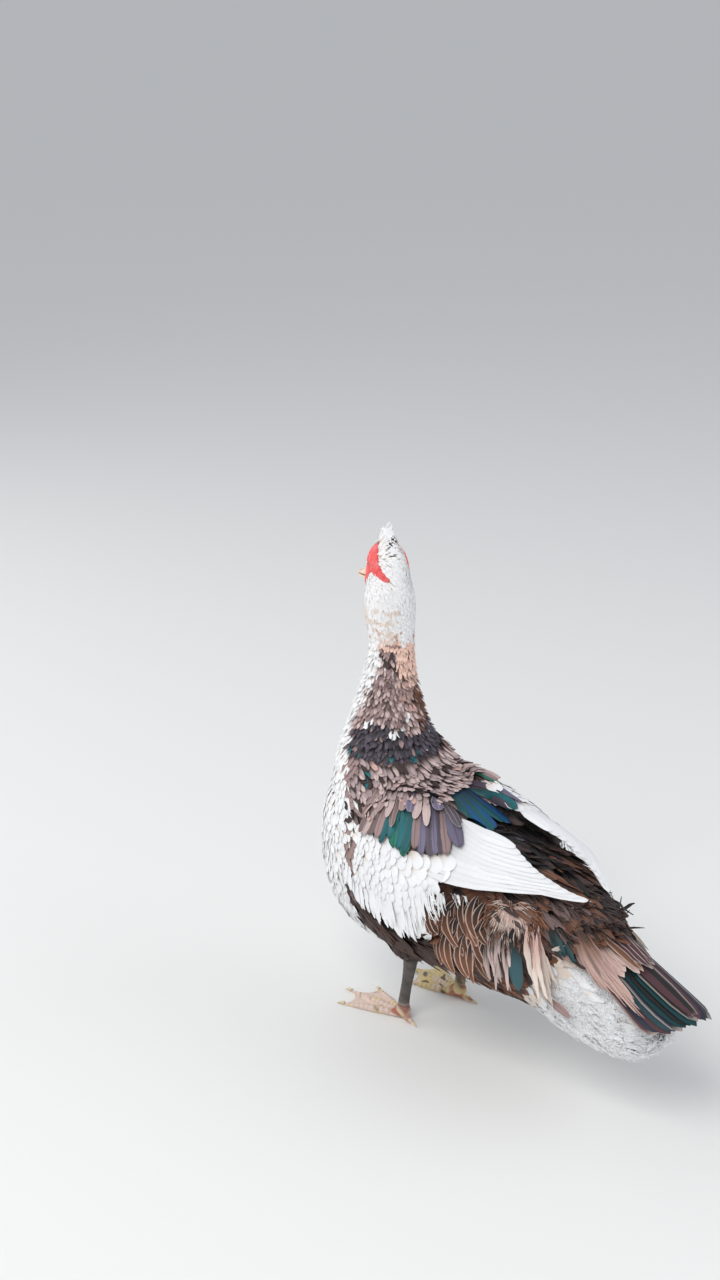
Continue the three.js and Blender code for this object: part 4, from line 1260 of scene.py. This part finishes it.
# Flight feathers: long white quills of each folded wing, the outermost longest, stacked towards the back.
# The lists give the folded blade's inner and outer side, its ridge and its lower edge, from front to back.
BLADE_AT = [-0.030, -0.0022, 0.0225, 0.0495, 0.0765, 0.099, 0.1135]
BLADE_INNER = [0.0255, 0.0235, 0.0198, 0.0153, 0.0108, 0.0072, 0.0072]
BLADE_OUTER = [0.0835, 0.082, 0.074, 0.0585, 0.0385, 0.0225, 0.0117]
BLADE_TOP = [0.236, 0.2285, 0.225, 0.2185, 0.2105, 0.2035, 0.199]
BLADE_EDGE = [0.190, 0.1945, 0.198, 0.2035, 0.2045, 0.2005, 0.198]
QUILLS = 11
for side in (1, -1):
    order = np.arange(QUILLS)[:, None]
    y = -0.024 + (0.137 - 0.0078 * order) * LARGE[None]
    inner, outer = np.interp(y, BLADE_AT, BLADE_INNER), np.interp(y, BLADE_AT, BLADE_OUTER)
    top, edge = np.interp(y, BLADE_AT, BLADE_TOP), np.interp(y, BLADE_AT, BLADE_EDGE)
    share = 0.90 - 0.078 * order
    x = inner + (outer - inner) * share
    z = top - (top - edge) * share**2 + 0.00035 * order - 0.0016 * (1 - LARGE[None])
    lines = np.stack([side * x, y, z], 2)
    tilt = 2 * (top - edge) * share / (outer - inner)
    ups = unit(np.stack([side * tilt, 0 * tilt, 0 * tilt + 1], 2))
    bodies = vanes(lines, ups, np.linspace(0.0150, 0.0165, QUILLS), LARGE, blunt=2.2, widest=0.5, arch=0.10,
                   thick=0.0005, across=WIDE_RING, ragged=0.10, seed=41)
    tips, shades = tinted(WHITE, WHITE * 0.9, QUILLS, 42, spread=0.02)
    # Grey rims and shafts on the white quills: painted shade that marks their edges.
    wings.add(*bodies, tips, shades, trimming(WHITE * 0.72, 0.35, QUILLS))

# The ragged fringe: tips of the lowest coverts, from front to back along the wing's lower edge.
# They are broad at the front and narrow behind, where thin strands hang over the dark flank too.
FRINGES = 66
for side in (1, -1):
    rng = np.random.default_rng(51 + side)
    at = np.linspace(0, len(FRINGE_Y) - 1, FRINGES)
    tip_y = np.interp(at, range(len(FRINGE_Y)), FRINGE_Y) + 0.002 * rng.normal(size=FRINGES)
    tip_z = np.interp(at, range(len(FRINGE_Y)), FRINGE_Z) + 0.003 * rng.normal(size=FRINGES)
    ends = np.column_stack([np.full(FRINGES, side * 0.088), tip_y, tip_z])
    starts = ends + np.array([0, -0.012, 0.024]) * rng.uniform(0.8, 1.1, (FRINGES, 1))
    shape = np.interp(LARGE, [0, 0.3, 0.8, 1], [-0.0022, 0.0002, 0.0016, 0.0014])[None]
    shape = shape + rng.uniform(0, 0.0009, (FRINGES, 1))
    lines, ups = hull_ground.span(starts, ends, LARGE, shape)
    breadth = np.interp(tip_y, [-0.050, -0.034], [0.0085, 0.0042]) * rng.uniform(0.7, 1.2, FRINGES)
    bodies = vanes(lines, ups, breadth, LARGE, blunt=1.2, widest=0.35, arch=0.06, ragged=0.45, seed=52)
    tips, shades = tinted(WHITE, WHITE * 0.92, FRINGES, 53, spread=0.02)
    wings.add(*bodies, tips, shades)
    # Thin white strands that hang from the edge over the dark flank.
    count = 26
    starts = np.column_stack([
        np.full(count, 0.079), rng.uniform(-0.024, 0.026, count), rng.uniform(0.184, 0.190, count)])
    ways = np.array([0.15, 0.25, -1]) + 0.14 * rng.normal(size=(count, 3))
    starts, _, _ = hull_ground.settle(starts * [side, 1, 1])
    end_ways = (ways + [-0.15, 0.5, 0]) * [side, 1, 1]
    lengths = np.interp(starts[:, 1], [-0.02, 0.02], [0.030, 0.013]) * rng.uniform(0.6, 1.1, count)
    lines = arcs(starts, ways * [side, 1, 1], end_ways, lengths, MIDDLE)
    lines, ups = hull_ground.clear(lines, 0.0035)
    bodies = vanes(lines, ups, rng.uniform(0.0014, 0.0032, count), MIDDLE, blunt=1.2, widest=0.3, arch=0.1,
                   ragged=0.5, seed=54)
    tips, shades = tinted(WHITE, WHITE * 0.92, count, 55, spread=0.02)
    wings.add(*bodies, tips, shades)
wings.pieces("wing_feathers", replaced=(*WINGS, *BLADES))

# Scapulars: two fans of long glossy feathers, rooted under the mantle. Their teal, green, blue and purple are
# iridescent sheen painted as fixed colour.
# The left fan is spread down over the wing; the right one lies back along the spine.
scapulars = Coat()


def fan(starts, ends, widths, colours, seed, lift=0.0016, trim=(UMBER, 0.5)):
    count = len(starts)
    rng = np.random.default_rng(seed)
    strayed = ends + 0.0026 * rng.normal(size=ends.shape)
    ends = strayed + (ends - starts) * rng.uniform(-0.10, 0.05, (count, 1))
    rises = -0.0015 + LARGE[None] ** 0.7 * (lift + 0.0015) + rng.uniform(0, 0.0008, count)[:, None]
    lines, ups = hull_ground.span(starts, ends, LARGE, rises)
    bodies = vanes(lines, ups, widths, LARGE, blunt=2.4, widest=0.6, arch=0.2, thick=0.0004, across=WIDE_RING,
                   roll=0.14 * rng.normal(size=count), ragged=0.2, seed=seed)
    tips = listed(colours)
    shades = np.column_stack([tips[:, :3] * 0.35 + UMBER * 0.3, np.full(count, 0.8)])
    scapulars.add(*bodies, tips, shades, trimming(*trim, count))


# Each feather's colour and gloss, from the shoulder back.
LEFT_FAN = [
    (MAUVE, 0), (MAUVE * 0.6, 0.1), (PALE_MAUVE * 0.9, 0), (MAUVE * 0.5, 0.2), (MAUVE, 0.2),
    (TEAL * 0.8, 0.8), (TEAL, 0.9), (GREEN, 0.9), (TEAL, 0.9), (GREEN, 0.9), (TEAL * 0.8, 0.8),
    (MAUVE * 0.8, 0.4), (PURPLE, 0.5), (SLATE, 0.5), (PURPLE, 0.5), (SLATE * 0.8, 0.4), (MAUVE * 0.8, 0.2),
    (PURPLE * 0.8, 0.3)]
count = len(LEFT_FAN)
tip_y = np.linspace(-0.110, 0.000, count)
tip_z = np.interp(tip_y, *MANTLE_EDGE_LEFT)
rng = np.random.default_rng(61)
ends = np.column_stack([np.interp(tip_y, [-0.11, -0.04, 0.0], [0.078, 0.078, 0.060]), tip_y, tip_z])
starts = in_row(count, (0.050, 0.026), (-0.108, -0.052), (0.246, 0.246))
ends += 0.0018 * rng.normal(size=ends.shape)
fan(starts, ends, rng.uniform(0.0120, 0.0170, count), LEFT_FAN, 62, lift=0.0024)

# Shorter feathers that lie over the left fan's roots.
OVERLAY = [
    (MAUVE * 0.8, 0.1), (PALE_MAUVE, 0), (MAUVE, 0.1), (PALE_MAUVE * 0.9, 0), (MAUVE * 0.6, 0.3),
    (MAUVE, 0.2), (PURPLE, 0.4), (PALE_MAUVE * 0.9, 0.1), (PALE_MAUVE, 0.1), (PURPLE, 0.4), (SLATE, 0.5)]
count = len(OVERLAY)
chosen = np.linspace(0, len(LEFT_FAN) - 1, count).astype(int)
shorter = np.interp(np.linspace(0, 1, count), [0, 0.4, 0.5, 1], [1, 1, 0.7, 0.9])[:, None]
overlaid = starts[chosen] + (ends[chosen] - starts[chosen]) * (rng.uniform(0.45, 0.75, (count, 1)) * shorter)
fan(starts[chosen] + [0.001, -0.004, 0.001], overlaid, rng.uniform(0.008, 0.012, count), OVERLAY, 65,
    lift=0.0040, trim=(CREAM, 0.25))

# The blue and teal fan behind them, in the middle of the back, its hues painted iridescent sheen.
BACK_FAN = [
    (TEAL, 0.8), (BLUE, 0.9), (TEAL, 0.9), (BLUE, 0.8), (TEAL * 0.8, 0.8), (BLUE * 0.8, 0.8), (TEAL, 0.9),
    (SLATE, 0.5), (PURPLE, 0.4)]
count = len(BACK_FAN)
ends = in_row(count, (0.022, -0.034), (-0.012, -0.008), (0, 0))
ends[:, 1] += 0.006 * np.sin(np.linspace(0, np.pi, count))
ends[:, 2] = np.interp(np.abs(ends[:, 0]), [0, 0.012, 0.022, 0.035], [0.223, 0.223, 0.230, 0.238])
starts = in_row(count, (0, -0.026), (-0.070, -0.070), (0.240, 0.240))
ends += 0.0015 * rng.normal(size=ends.shape)
fan(starts, ends, rng.uniform(0.012, 0.015, count), BACK_FAN, 63, lift=0.003)

RIGHT_FAN = [
    (GREEN, 0.9), (MAUVE, 0.1), (PALE_MAUVE, 0), (MAUVE, 0), (PURPLE, 0.3), (MAUVE * 0.7, 0.2), (TEAL, 0.8),
    (MAUVE * 0.8, 0.1), (PALE_MAUVE * 0.9, 0)]
count = len(RIGHT_FAN)
ends = in_row(count, (-0.036, -0.076), (-0.040, -0.105), (0.242, 0.214))
starts = in_row(count, (-0.034, -0.050), (-0.078, -0.115), (0.246, 0.246))
fan(starts, ends, rng.uniform(0.011, 0.014, count), RIGHT_FAN, 64)
scapulars.pieces("scapulars")

# Back and rump: long ragged black and brown feathers in the hollow between the wings.
# Behind it come the rump's, brown at the left and black at the right, and short ones under the wing tips.
ragged = Coat()


def hollow(places):
    x, y, z = places.T
    between = np.abs(x) < np.interp(y, [-0.02, 0.09], [0.026, 0.012])
    return between & (y > -0.028) & (y < 0.105) & (z > 0.17) & off_blades(places, 0.006)


roots, normals, count, rng = sown(hull_ground, 0.0048, hollow, 71)
ways = np.array([0, 1, 0.05]) + [0.20, 0.1, 0.1] * rng.normal(size=roots.shape) - roots[:, :1] * [[9, 0, 0]]
lengths = rng.uniform(0.028, 0.042, count)
rises = -0.002 + MIDDLE[None] * rng.uniform(0.003, 0.0085, count)[:, None]
lines, ups = hull_ground.lay(roots, normals, ways, lengths, MIDDLE, rises)
# None of them strays over a wing's quills.
open_width = np.interp(lines[:, 3:, 1], BLADE_AT[:-1] + [0.12], BLADE_INNER[:-1] + [0.05]) + 0.001
between = (np.abs(lines[:, 3:, 0]) < open_width).all(1)
lines, ups, roots = lines[between], ups[between], roots[between]
count = len(lines)
bodies = vanes(lines, ups, rng.uniform(0.005, 0.0095, count), MIDDLE, blunt=1.3, widest=0.35, arch=0.3,
               roll=0.35 * rng.normal(size=count), ragged=0.6, seed=73)
tips, shades = tinted(BLACK, BLACK, count, 74, gloss=0.25)
luck = rng.random(count)
tips[luck < 0.3, :3] = UMBER
tips[(luck > 0.8) & (roots[:, 1] < 0.0)] = [*SLATE, 0.4]
tips[(luck > 0.72) & (roots[:, 1] > 0.03), :3] = CHESTNUT
ragged.add(*bodies, tips, shades)


def rump_zone(places):
    x, y, z = places.T
    beside = np.abs(x) > np.interp(y, [-0.02, 0.09], [0.022, 0.004])
    low = z > np.interp(y, [0.02, 0.11, 0.13], [0.182, 0.158, 0.152])
    return beside & (y > 0.020) & (y < 0.134) & low & off_blades(places)


roots, normals, count, rng = sown(hull_ground, 0.0050, rump_zone, 75)
x, y, z = roots.T
ways = uneven_way(rng, count, [0, 1, -0.45], 0.12)
rises = -0.0025 + MIDDLE[None] * rng.uniform(0.003, 0.0085, count)[:, None]
lines, ups = hull_ground.lay(roots, normals, ways, rng.uniform(0.022, 0.036, count), MIDDLE, rises)
bodies = vanes(lines, ups, rng.uniform(0.005, 0.009, count), MIDDLE, blunt=1.5, widest=0.4, arch=0.3,
               roll=0.3 * rng.normal(size=count), ragged=0.5, seed=77)
tips, shades = tinted(UMBER, BLACK, count, 78, gloss=0.1, spread=0.3)
luck = rng.random(count)
tips[luck < 0.35, :3] = CHESTNUT * 0.8
tips[(x > 0.012) & (y > 0.066) & (z > 0.172) & (luck > 0.3), :3] = MAUVE * 0.4
tips[(x > 0.0) & (y > 0.088) & (x < 0.019) & (luck > 0.35), :3] = CHESTNUT
tips[(y > 0.088) & (luck > 0.85), :3] = PINK_TAN * 0.6
tips[(x < -0.004) & (y > 0.07)] = [*BLACK, 0.3]
ragged.add(*bodies, tips, shades, trimming(PINK_TAN, 0.25, count))


def under_rump_zone(places):
    _, y, z = places.T
    return (y > 0.075) & (y < 0.160) & (z > 0.150)


roots, normals, count, rng = sown(skin_ground, 0.0046, under_rump_zone, 79)
ways = uneven_way(rng, count, [0, 1, -0.45], 0.15)
rises = 0.0004 + MIDDLE[None] * rng.uniform(0.003, 0.006, count)[:, None]
lines, ups = skin_ground.lay(roots, normals, ways, rng.uniform(0.016, 0.026, count), MIDDLE, rises)
bodies = vanes(lines, ups, rng.uniform(0.005, 0.008, count), MIDDLE, blunt=1.5, widest=0.4, arch=0.3,
               roll=0.25 * rng.normal(size=count), ragged=0.5, seed=77)
tips, shades = tinted(UMBER * 0.8, BLACK, count, 78, gloss=0.1, spread=0.35)
luck = rng.random(count)
tips[luck < 0.35, :3] = CHESTNUT * 0.7
tips[(roots[:, 0] < -0.004) & (luck < 0.8), :3] = BLACK
ragged.add(*bodies, tips, shades, trimming(PINK_TAN, 0.2, count))
ragged.pieces("back_feathers")

# Flanks: hanging feathers behind each thigh, chestnut with cream shafts and rims, curled like commas.
# Behind them come a downy tuft, pale hanging plumes, one dark teal feather and a broad pink plume.
flanks = Coat()


def hanging(starts, ways, end_ways, lengths, shares, least):
    """Free shaft lines on this side, kept clear of the body."""
    lines = arcs(starts * mirror, ways * mirror, end_ways * mirror, lengths, shares)
    return hull_ground.clear(lines, least)


def hang(line, widths, shares, tints, seed, trim=None, **style):
    flanks.add(*vanes(*line, widths, shares, seed=seed, **style), *tints, trim)


for side in (1, -1):
    rng = np.random.default_rng(80 + side)
    mirror = np.array([side, 1, 1])
    # Dark streaked feathers along the lower edge of the wing, over the belly.
    count = 46
    at = np.sort(rng.random(count))
    starts = np.column_stack([
        np.interp(at, [0, 0.5, 1], [0.076, 0.076, 0.071]), np.interp(at, [0, 1], [-0.124, -0.016]),
        np.interp(at, [0, 0.2, 0.5, 1], [0.150, 0.128, 0.117, 0.122]) - 0.020 * rng.random(count)])
    starts, normals, _ = hull_ground.settle(starts * mirror)
    ways = uneven_way(rng, count, [0, 1, -0.5], 0.1)
    rises = -0.001 + MIDDLE[None] ** 0.7 * rng.uniform(0.002, 0.004, count)[:, None]
    line = hull_ground.lay(starts, normals, ways, rng.uniform(0.030, 0.042, count), MIDDLE, rises)
    tints = tinted(UMBER, BLACK, count, 81, gloss=0.15, spread=0.3)
    hang(line, rng.uniform(0.006, 0.010, count), MIDDLE, tints, 82, trimming(CHESTNUT, 0.8, count),
         blunt=1.5, arch=0.25, ragged=0.35)
    # Curled chestnut feathers.
    count = 21
    at = np.linspace(0, 1, count)
    starts = np.column_stack([
        np.interp(at, [0, 1], [0.074, 0.060]), np.interp(at, [0, 1], [-0.006, 0.040]),
        0.184 - 0.017 * (np.arange(count) % 3) + 0.003 * rng.normal(size=count)])
    ways = uneven_way(rng, count, [0.35, -0.5, -0.9], 0.12)
    end_ways = uneven_way(rng, count, [-0.25, 0.85, -0.85], 0.12)
    line = hanging(starts, ways, end_ways, rng.uniform(0.038, 0.050, count), LARGE, 0.0015)
    tints = tinted(CHESTNUT * 0.7, BLACK, count, 83, gloss=0.1, spread=0.4)
    hang(line, rng.uniform(0.0120, 0.0160, count), LARGE, tints, 84, trimming(PEACH * 0.9, 0.7, count),
         blunt=2.0, arch=0.3, ragged=0.15, roll=0.25 * rng.normal(size=count), across=WIDE_RING)
    # Downy tuft, whose hairs spread from its middle. It is pale there, and kept off the wing's quills.
    count = 1300
    starts = np.array([0.052, 0.062, 0.178]) + [0.004, 0.011, 0.009] * rng.normal(size=(count, 3))
    starts = starts[off_blades(starts * mirror, 0.006 if side > 0 else 0.016)]
    count = len(starts)
    starts, normals, _ = hull_ground.settle(starts * mirror)
    spreading = unit(starts * mirror - [0.053, 0.058, 0.184]) * mirror
    ways = unit(normals * 0.35 + spreading + np.array([0, 0.1, -0.3]) + 0.35 * rng.normal(size=(count, 3)))
    lines = arcs(starts, ways, ways + [0, 0.2, -0.9], rng.uniform(0.008, 0.015, count), SMALL)
    lines, ups = hull_ground.clear(lines, 0.001)
    below_wing = lines[:, :, 2].max(1) < 0.191
    starts, lines, ups = starts[below_wing], lines[below_wing], ups[below_wing]
    count = len(starts)
    tints = tinted(CHESTNUT * 1.3, CHESTNUT, count, 85, spread=0.35)
    from_middle = np.linalg.norm(starts * mirror - [0.053, 0.058, 0.178], axis=1)
    pale = from_middle < 0.012 + 0.004 * rng.normal(size=count)
    tints[0][pale, :3] = CREAM * 0.95
    tints[1][pale, :3] = PINK_TAN
    hang((lines, ups), rng.uniform(0.0004, 0.0010, count), SMALL, tints, 86, blunt=1.3, arch=0.3, ragged=0.4)
    # Pale hanging plumes.
    count = 20
    starts = strewn(rng, count, (0.056, 0.063), (0.040, 0.064), (0.150, 0.172))
    ways = uneven_way(rng, count, [0.25, 0, -1], 0.12)
    end_ways = uneven_way(rng, count, [-0.1, 0.35, -1], 0.12)
    line = hanging(starts, ways, end_ways, rng.uniform(0.034, 0.050, count), MIDDLE, 0.003)
    tints = tinted(PALE_MAUVE, UMBER, count, 87, spread=0.2)
    hang(line, rng.uniform(0.0035, 0.006, count), MIDDLE, tints, 88, trimming(CREAM, 0.5, count),
         blunt=1.4, arch=0.4, ragged=0.4, roll=0.4 * rng.normal(size=count))
    # Dark teal feather, with two umber ones beside it.
    starts = np.array([[0.055, 0.064, 0.170], [0.056, 0.058, 0.166], [0.051, 0.072, 0.168]])
    ways = np.array([[0.3, 0.1, -1], [0.3, 0.0, -1], [0.2, 0.2, -1]])
    tints = tinted(TEAL * 0.6 + SLATE * 0.4, BLACK, 3, 89, gloss=0.6)
    tints[0][1:, :3] = UMBER
    line = hanging(starts, ways, ways + [-0.2, 0.45, 0], np.array([0.056, 0.048, 0.048]), LARGE, 0.004)
    hang(line, np.array([0.015, 0.012, 0.012]), LARGE, tints, 90, blunt=3.0, arch=0.3, across=WIDE_RING)
    # Broad pink plumes at the front of the vent, their vanes split into soft strands.
    count = 16
    starts = strewn(rng, count, (0.044, 0.053), (0.072, 0.087), (0.160, 0.178))
    ways = uneven_way(rng, count, [0.25, 0.25, -1], 0.1)
    lines, ups = hanging(starts, ways, ways + [-0.2, 0.5, 0], rng.uniform(0.046, 0.064, count), LARGE, 0.002)
    ups = ups + 0.15 * rng.normal(size=(count, 1, 3))
    tints = tinted(CREAM, PINK_TAN, count, 91)
    hang((lines, unit(ups)), rng.uniform(0.004, 0.009, count), LARGE, tints, 92,
         blunt=1.5, arch=0.3, ragged=0.5)
    frayed = [tint[:6] for tint in tints]
    flanks.add(*plumes(lines[:6], ups[:6], np.full(6, 0.014), LARGE, 44, frayed, 0.0002, 92, slant=0.95))
    # Black tuft under the rump, and a small brown feather low on the vent.
    count = 9
    starts = strewn(rng, count, (0.030, 0.040), (0.086, 0.098), (0.166, 0.176))
    ways = uneven_way(rng, count, [0.3, 0.8, -0.6], 0.15)
    line = hanging(starts, ways, ways + [-0.3, 0.1, -0.3], rng.uniform(0.020, 0.032, count), MIDDLE, 0.003)
    tints = tinted(BLACK * 0.5 + TEAL * 0.35, BLACK, count, 93, gloss=0.4)
    hang(line, rng.uniform(0.005, 0.008, count), MIDDLE, tints, 94, blunt=1.3, arch=0.3, ragged=0.5)
    start, way, end_way = (
        np.array([row]) for row in ((0.047, 0.098, 0.117), (0.1, 0.8, -0.5), (-0.2, 0.9, -0.35)))
    line = hanging(start, way, end_way, np.array([0.030]), LARGE, 0.004)
    hang(line, np.array([0.010]), LARGE, tinted(MAUVE, MAUVE * 0.6, 1, 95), 96, trimming(PINK_TAN, 0.6, 1),
         arch=0.3)
flanks.pieces("flank_feathers")

# Vent and undertail: a loose mass of white down plumes over the rear.
# They are rooted in the skin, lie backwards and fill the deep soft coat there.
vent = Coat()


def vent_zone(places):
    _, y, z = places.T
    return (y > 0.070 + 0.6 * (z - 0.11)) & (z < 0.148)


roots, normals, count, rng = sown(skin_ground, 0.0047, vent_zone, 101)
ways = uneven_way(rng, count, [0, 1, -0.35], 0.12)
rises = 0.0004 + MIDDLE[None] ** 0.6 * (coat_depth(roots) * rng.uniform(0.85, 1.1, count))[:, None]
lengths = rng.uniform(0.030, 0.044, count) * np.interp(roots[:, 1], [0.12, 0.17], [1, 0.6])
lines, ups = skin_ground.lay(roots, normals, ways, lengths, MIDDLE, rises, cling=0.008)
tints = tinted(WHITE * 1.06, WHITE, count, 103, spread=0.02)
vent.add(*plumes(lines, ups, rng.uniform(0.009, 0.014, count), MIDDLE, 12, tints, 0.00026, 104))
vent.pieces("vent_plumes", replaced=("vent_plumage",))

# Tail: long broad quills in a shallow fan, black with teal and maroon sheen and cream shafts.
# Shorter coverts lie over their roots, and a frayed pink fan hangs at the left. The lists say how high
# the tail's ridge is, from its root to its tip.
tail = Coat()
TAIL_AT = [0.0835, 0.1035, 0.135, 0.171, 0.2045, 0.2205, 0.2275]
TAIL_TOP = [0.1855, 0.1775, 0.164, 0.1485, 0.135, 0.1285, 0.125]
TAIL_LENGTH = 0.144


def tail_lines(spread, root_y, tip_y, root_half, tip_half, lift, shares):
    """Shaft lines of the tail's fan. spread runs from -1 at its right edge to 1 at its left."""
    spread, root_y, tip_y = (np.asarray(value)[:, None] for value in (spread, root_y, tip_y))
    y = root_y + (tip_y - root_y) * shares[None]
    half = root_half + (tip_half - root_half) * (y - TAIL_AT[0]) / TAIL_LENGTH
    drop = np.interp(y, [0.0835, 0.2045], [0.0027, 0.0126])
    z = np.interp(y, TAIL_AT, TAIL_TOP) - drop * spread**2 + np.asarray(lift)[:, None]
    lines = np.stack([spread * half, y, z], 2)
    slope = 2 * drop * spread / np.maximum(half, 0.01)
    return lines, unit(np.stack([slope, 0 * slope + 0.42, 0 * slope + 1], 2))


count = 18
spread = np.linspace(-1, 1, count)
rng = np.random.default_rng(111)
lines, ups = tail_lines(
    spread, np.full(count, 0.082), 0.2265 - 0.022 * np.abs(spread) ** 2.2 + 0.0015 * rng.normal(size=count),
    0.015, 0.036, -0.0045 + 0.0050 * (1 - np.abs(spread)), LARGE)
# Half of the quills' colours and gloss, from the right; the other half repeats them. The teal ones are a
# painted highlight streak on the glossy black quills.
QUILL_COLOURS = [
    (BLACK, 0.4), (TEAL * 0.35, 0.8), (BLACK, 0.5), (TEAL * 0.3, 0.8), (NAVY, 0.6),
    (TEAL * 0.25 + NAVY * 0.5, 0.7), (MAROON * 0.8, 0.3), (NAVY, 0.6), (MAROON, 0.3)]
tips = listed(QUILL_COLOURS * 2)
shades = np.column_stack([tips[:, :3] * 0.5, np.ones(count)])
bodies = vanes(lines, ups, np.full(count, 0.021), LARGE, blunt=4.0, widest=0.6, arch=0.03, thick=0.0004,
               across=WIDE_RING, ragged=0.10, seed=112)
trims = trimming(CREAM, 0.0, count)
trims[1::4, 3] = 0.4
tail.add(*bodies, tips, shades, trims)

# The coverts over the quills' roots; the teal one is painted sheen.
COVERT_COLOURS = [
    (BLACK, 0.5), (BLACK, 0.5), (TEAL * 0.6, 0.8), (BLACK, 0.4), (MAROON * 0.7, 0.3), (MAROON, 0.3),
    (UMBER, 0.2), (MAROON, 0.2), (MAROON * 1.2, 0.2), (CHESTNUT, 0.1), (PINK_TAN * 0.7, 0),
    (PINK_TAN * 0.8, 0), (PINK_TAN * 0.9, 0), (PINK_TAN, 0), (PINK_TAN, 0)]
count = len(COVERT_COLOURS)
spread = np.linspace(-0.95, 0.95, count)
lines, ups = tail_lines(
    spread, np.full(count, 0.078), 0.168 - 0.014 * np.abs(spread) + 0.006 * rng.normal(size=count),
    0.016, 0.036, 0.0008 + 0.0052 * (1 - np.abs(spread)), LARGE)
tips = listed(COVERT_COLOURS)
shades = np.column_stack([tips[:, :3] * 0.4 + UMBER * 0.4, np.ones(count)])
bodies = vanes(lines, ups, np.full(count, 0.017), LARGE, blunt=1.8, widest=0.45, arch=0.06, thick=0.0004,
               across=WIDE_RING, ragged=0.35, roll=0.03 * rng.normal(size=count), seed=113)
tail.add(*bodies, tips, shades, trimming(CREAM, 0.55, count))

# The frayed fan: a few vanes under many loose strands.
for count, thin, wide, seed, fray in ((12, 0.010, 0.014, 115, 0.45), (64, 0.0012, 0.0034, 118, 0.3)):
    rng = np.random.default_rng(seed)
    starts = in_row(count, (0.019, 0.019), (0.100, 0.108), (0.176, 0.176))
    ends = in_row(count, (0.030, 0.036), (0.140, 0.196), (0.136, 0.132))
    ends = starts + (ends - starts) * rng.uniform(0.80, 1.04, (count, 1))
    ends = ends + 0.0015 * rng.normal(size=(count, 3))
    lines = starts[:, None] * (1 - LARGE[None, :, None]) + ends[:, None] * LARGE[None, :, None]
    lines[:, :, 0] += 0.006 * np.sin(np.pi * LARGE)[None]
    lines += rng.uniform(0, 0.0022, (count, 1, 1)) * [0.8, 0.1, 0.7] * (count > 12)
    ups = np.broadcast_to(unit(np.array([0.8, 0.1, 0.7])), lines.shape)
    bodies = vanes(lines, ups, rng.uniform(thin, wide, count), LARGE, blunt=1.4, widest=0.45, arch=0.2,
                   ragged=fray, roll=0.15 * rng.normal(size=count), seed=seed)
    tips, shades = tinted(PINK_TAN * 0.85, CHESTNUT, count, 117, spread=0.16)
    tips[rng.random(count) < 0.25, :3] *= 0.55
    tail.add(*bodies, tips, shades, trimming(CREAM, 0.25, count))
tail.pieces("tail_feathers", replaced=("tail",))

# Floor, light and camera, as in a photographer's studio.
# The camera looks from behind the duck's left and from above, as the photograph does.
floor_finish = Finish("studio floor", Base_Color=(0.78, 0.78, 0.76, 1), Roughness=0.9)
bpy.ops.mesh.primitive_plane_add(size=240, location=(0, 0, 0))
floor = bpy.context.active_object
floor.name = "floor"
floor_finish.dress(floor)


def lamp(name, place, target, size, power, colour):
    light = bpy.data.lights.new(name, "AREA")
    light.energy = power
    light.size = size
    light.color = colour
    stand = bpy.data.objects.new(name, light)
    stand.location = place
    stand.rotation_euler = (Vector(target) - Vector(place)).to_track_quat("-Z", "Y").to_euler()
    bpy.context.scene.collection.objects.link(stand)


lamp("key_light", (1.6, 0.4, 2.2), (0, 0, 0.2), 1.4, 34, (1, 0.98, 0.95))
lamp("fill_light", (-1.4, 1.6, 1.4), (0, 0, 0.2), 1.8, 14, (0.95, 0.97, 1))
lamp("front_light", (0.8, -2.0, 1.2), (0, 0, 0.2), 1.8, 16, (1, 1, 1))
world = bpy.context.scene.world or bpy.data.worlds.new("studio")
bpy.context.scene.world = world
world.use_nodes = True
world.node_tree.nodes["Background"].inputs["Color"].default_value = (0.9, 0.93, 1, 1)
world.node_tree.nodes["Background"].inputs["Strength"].default_value = 0.62
bpy.context.scene.view_settings.view_transform = "Standard"

camera_data = bpy.data.cameras.new("camera")
camera = bpy.data.objects.new("camera", camera_data)
bpy.context.scene.collection.objects.link(camera)
camera_data.sensor_fit = "VERTICAL"
camera_data.sensor_height = 36
camera_data.lens = 52.03
camera.location = (1.1215, 1.0143, 0.9563)
camera.rotation_euler = (math.radians(69.887), 0, math.radians(137.08))
bpy.context.scene.camera = camera

for guide in (hull, wing_solids, blade_solids):
    bpy.data.objects.remove(guide)
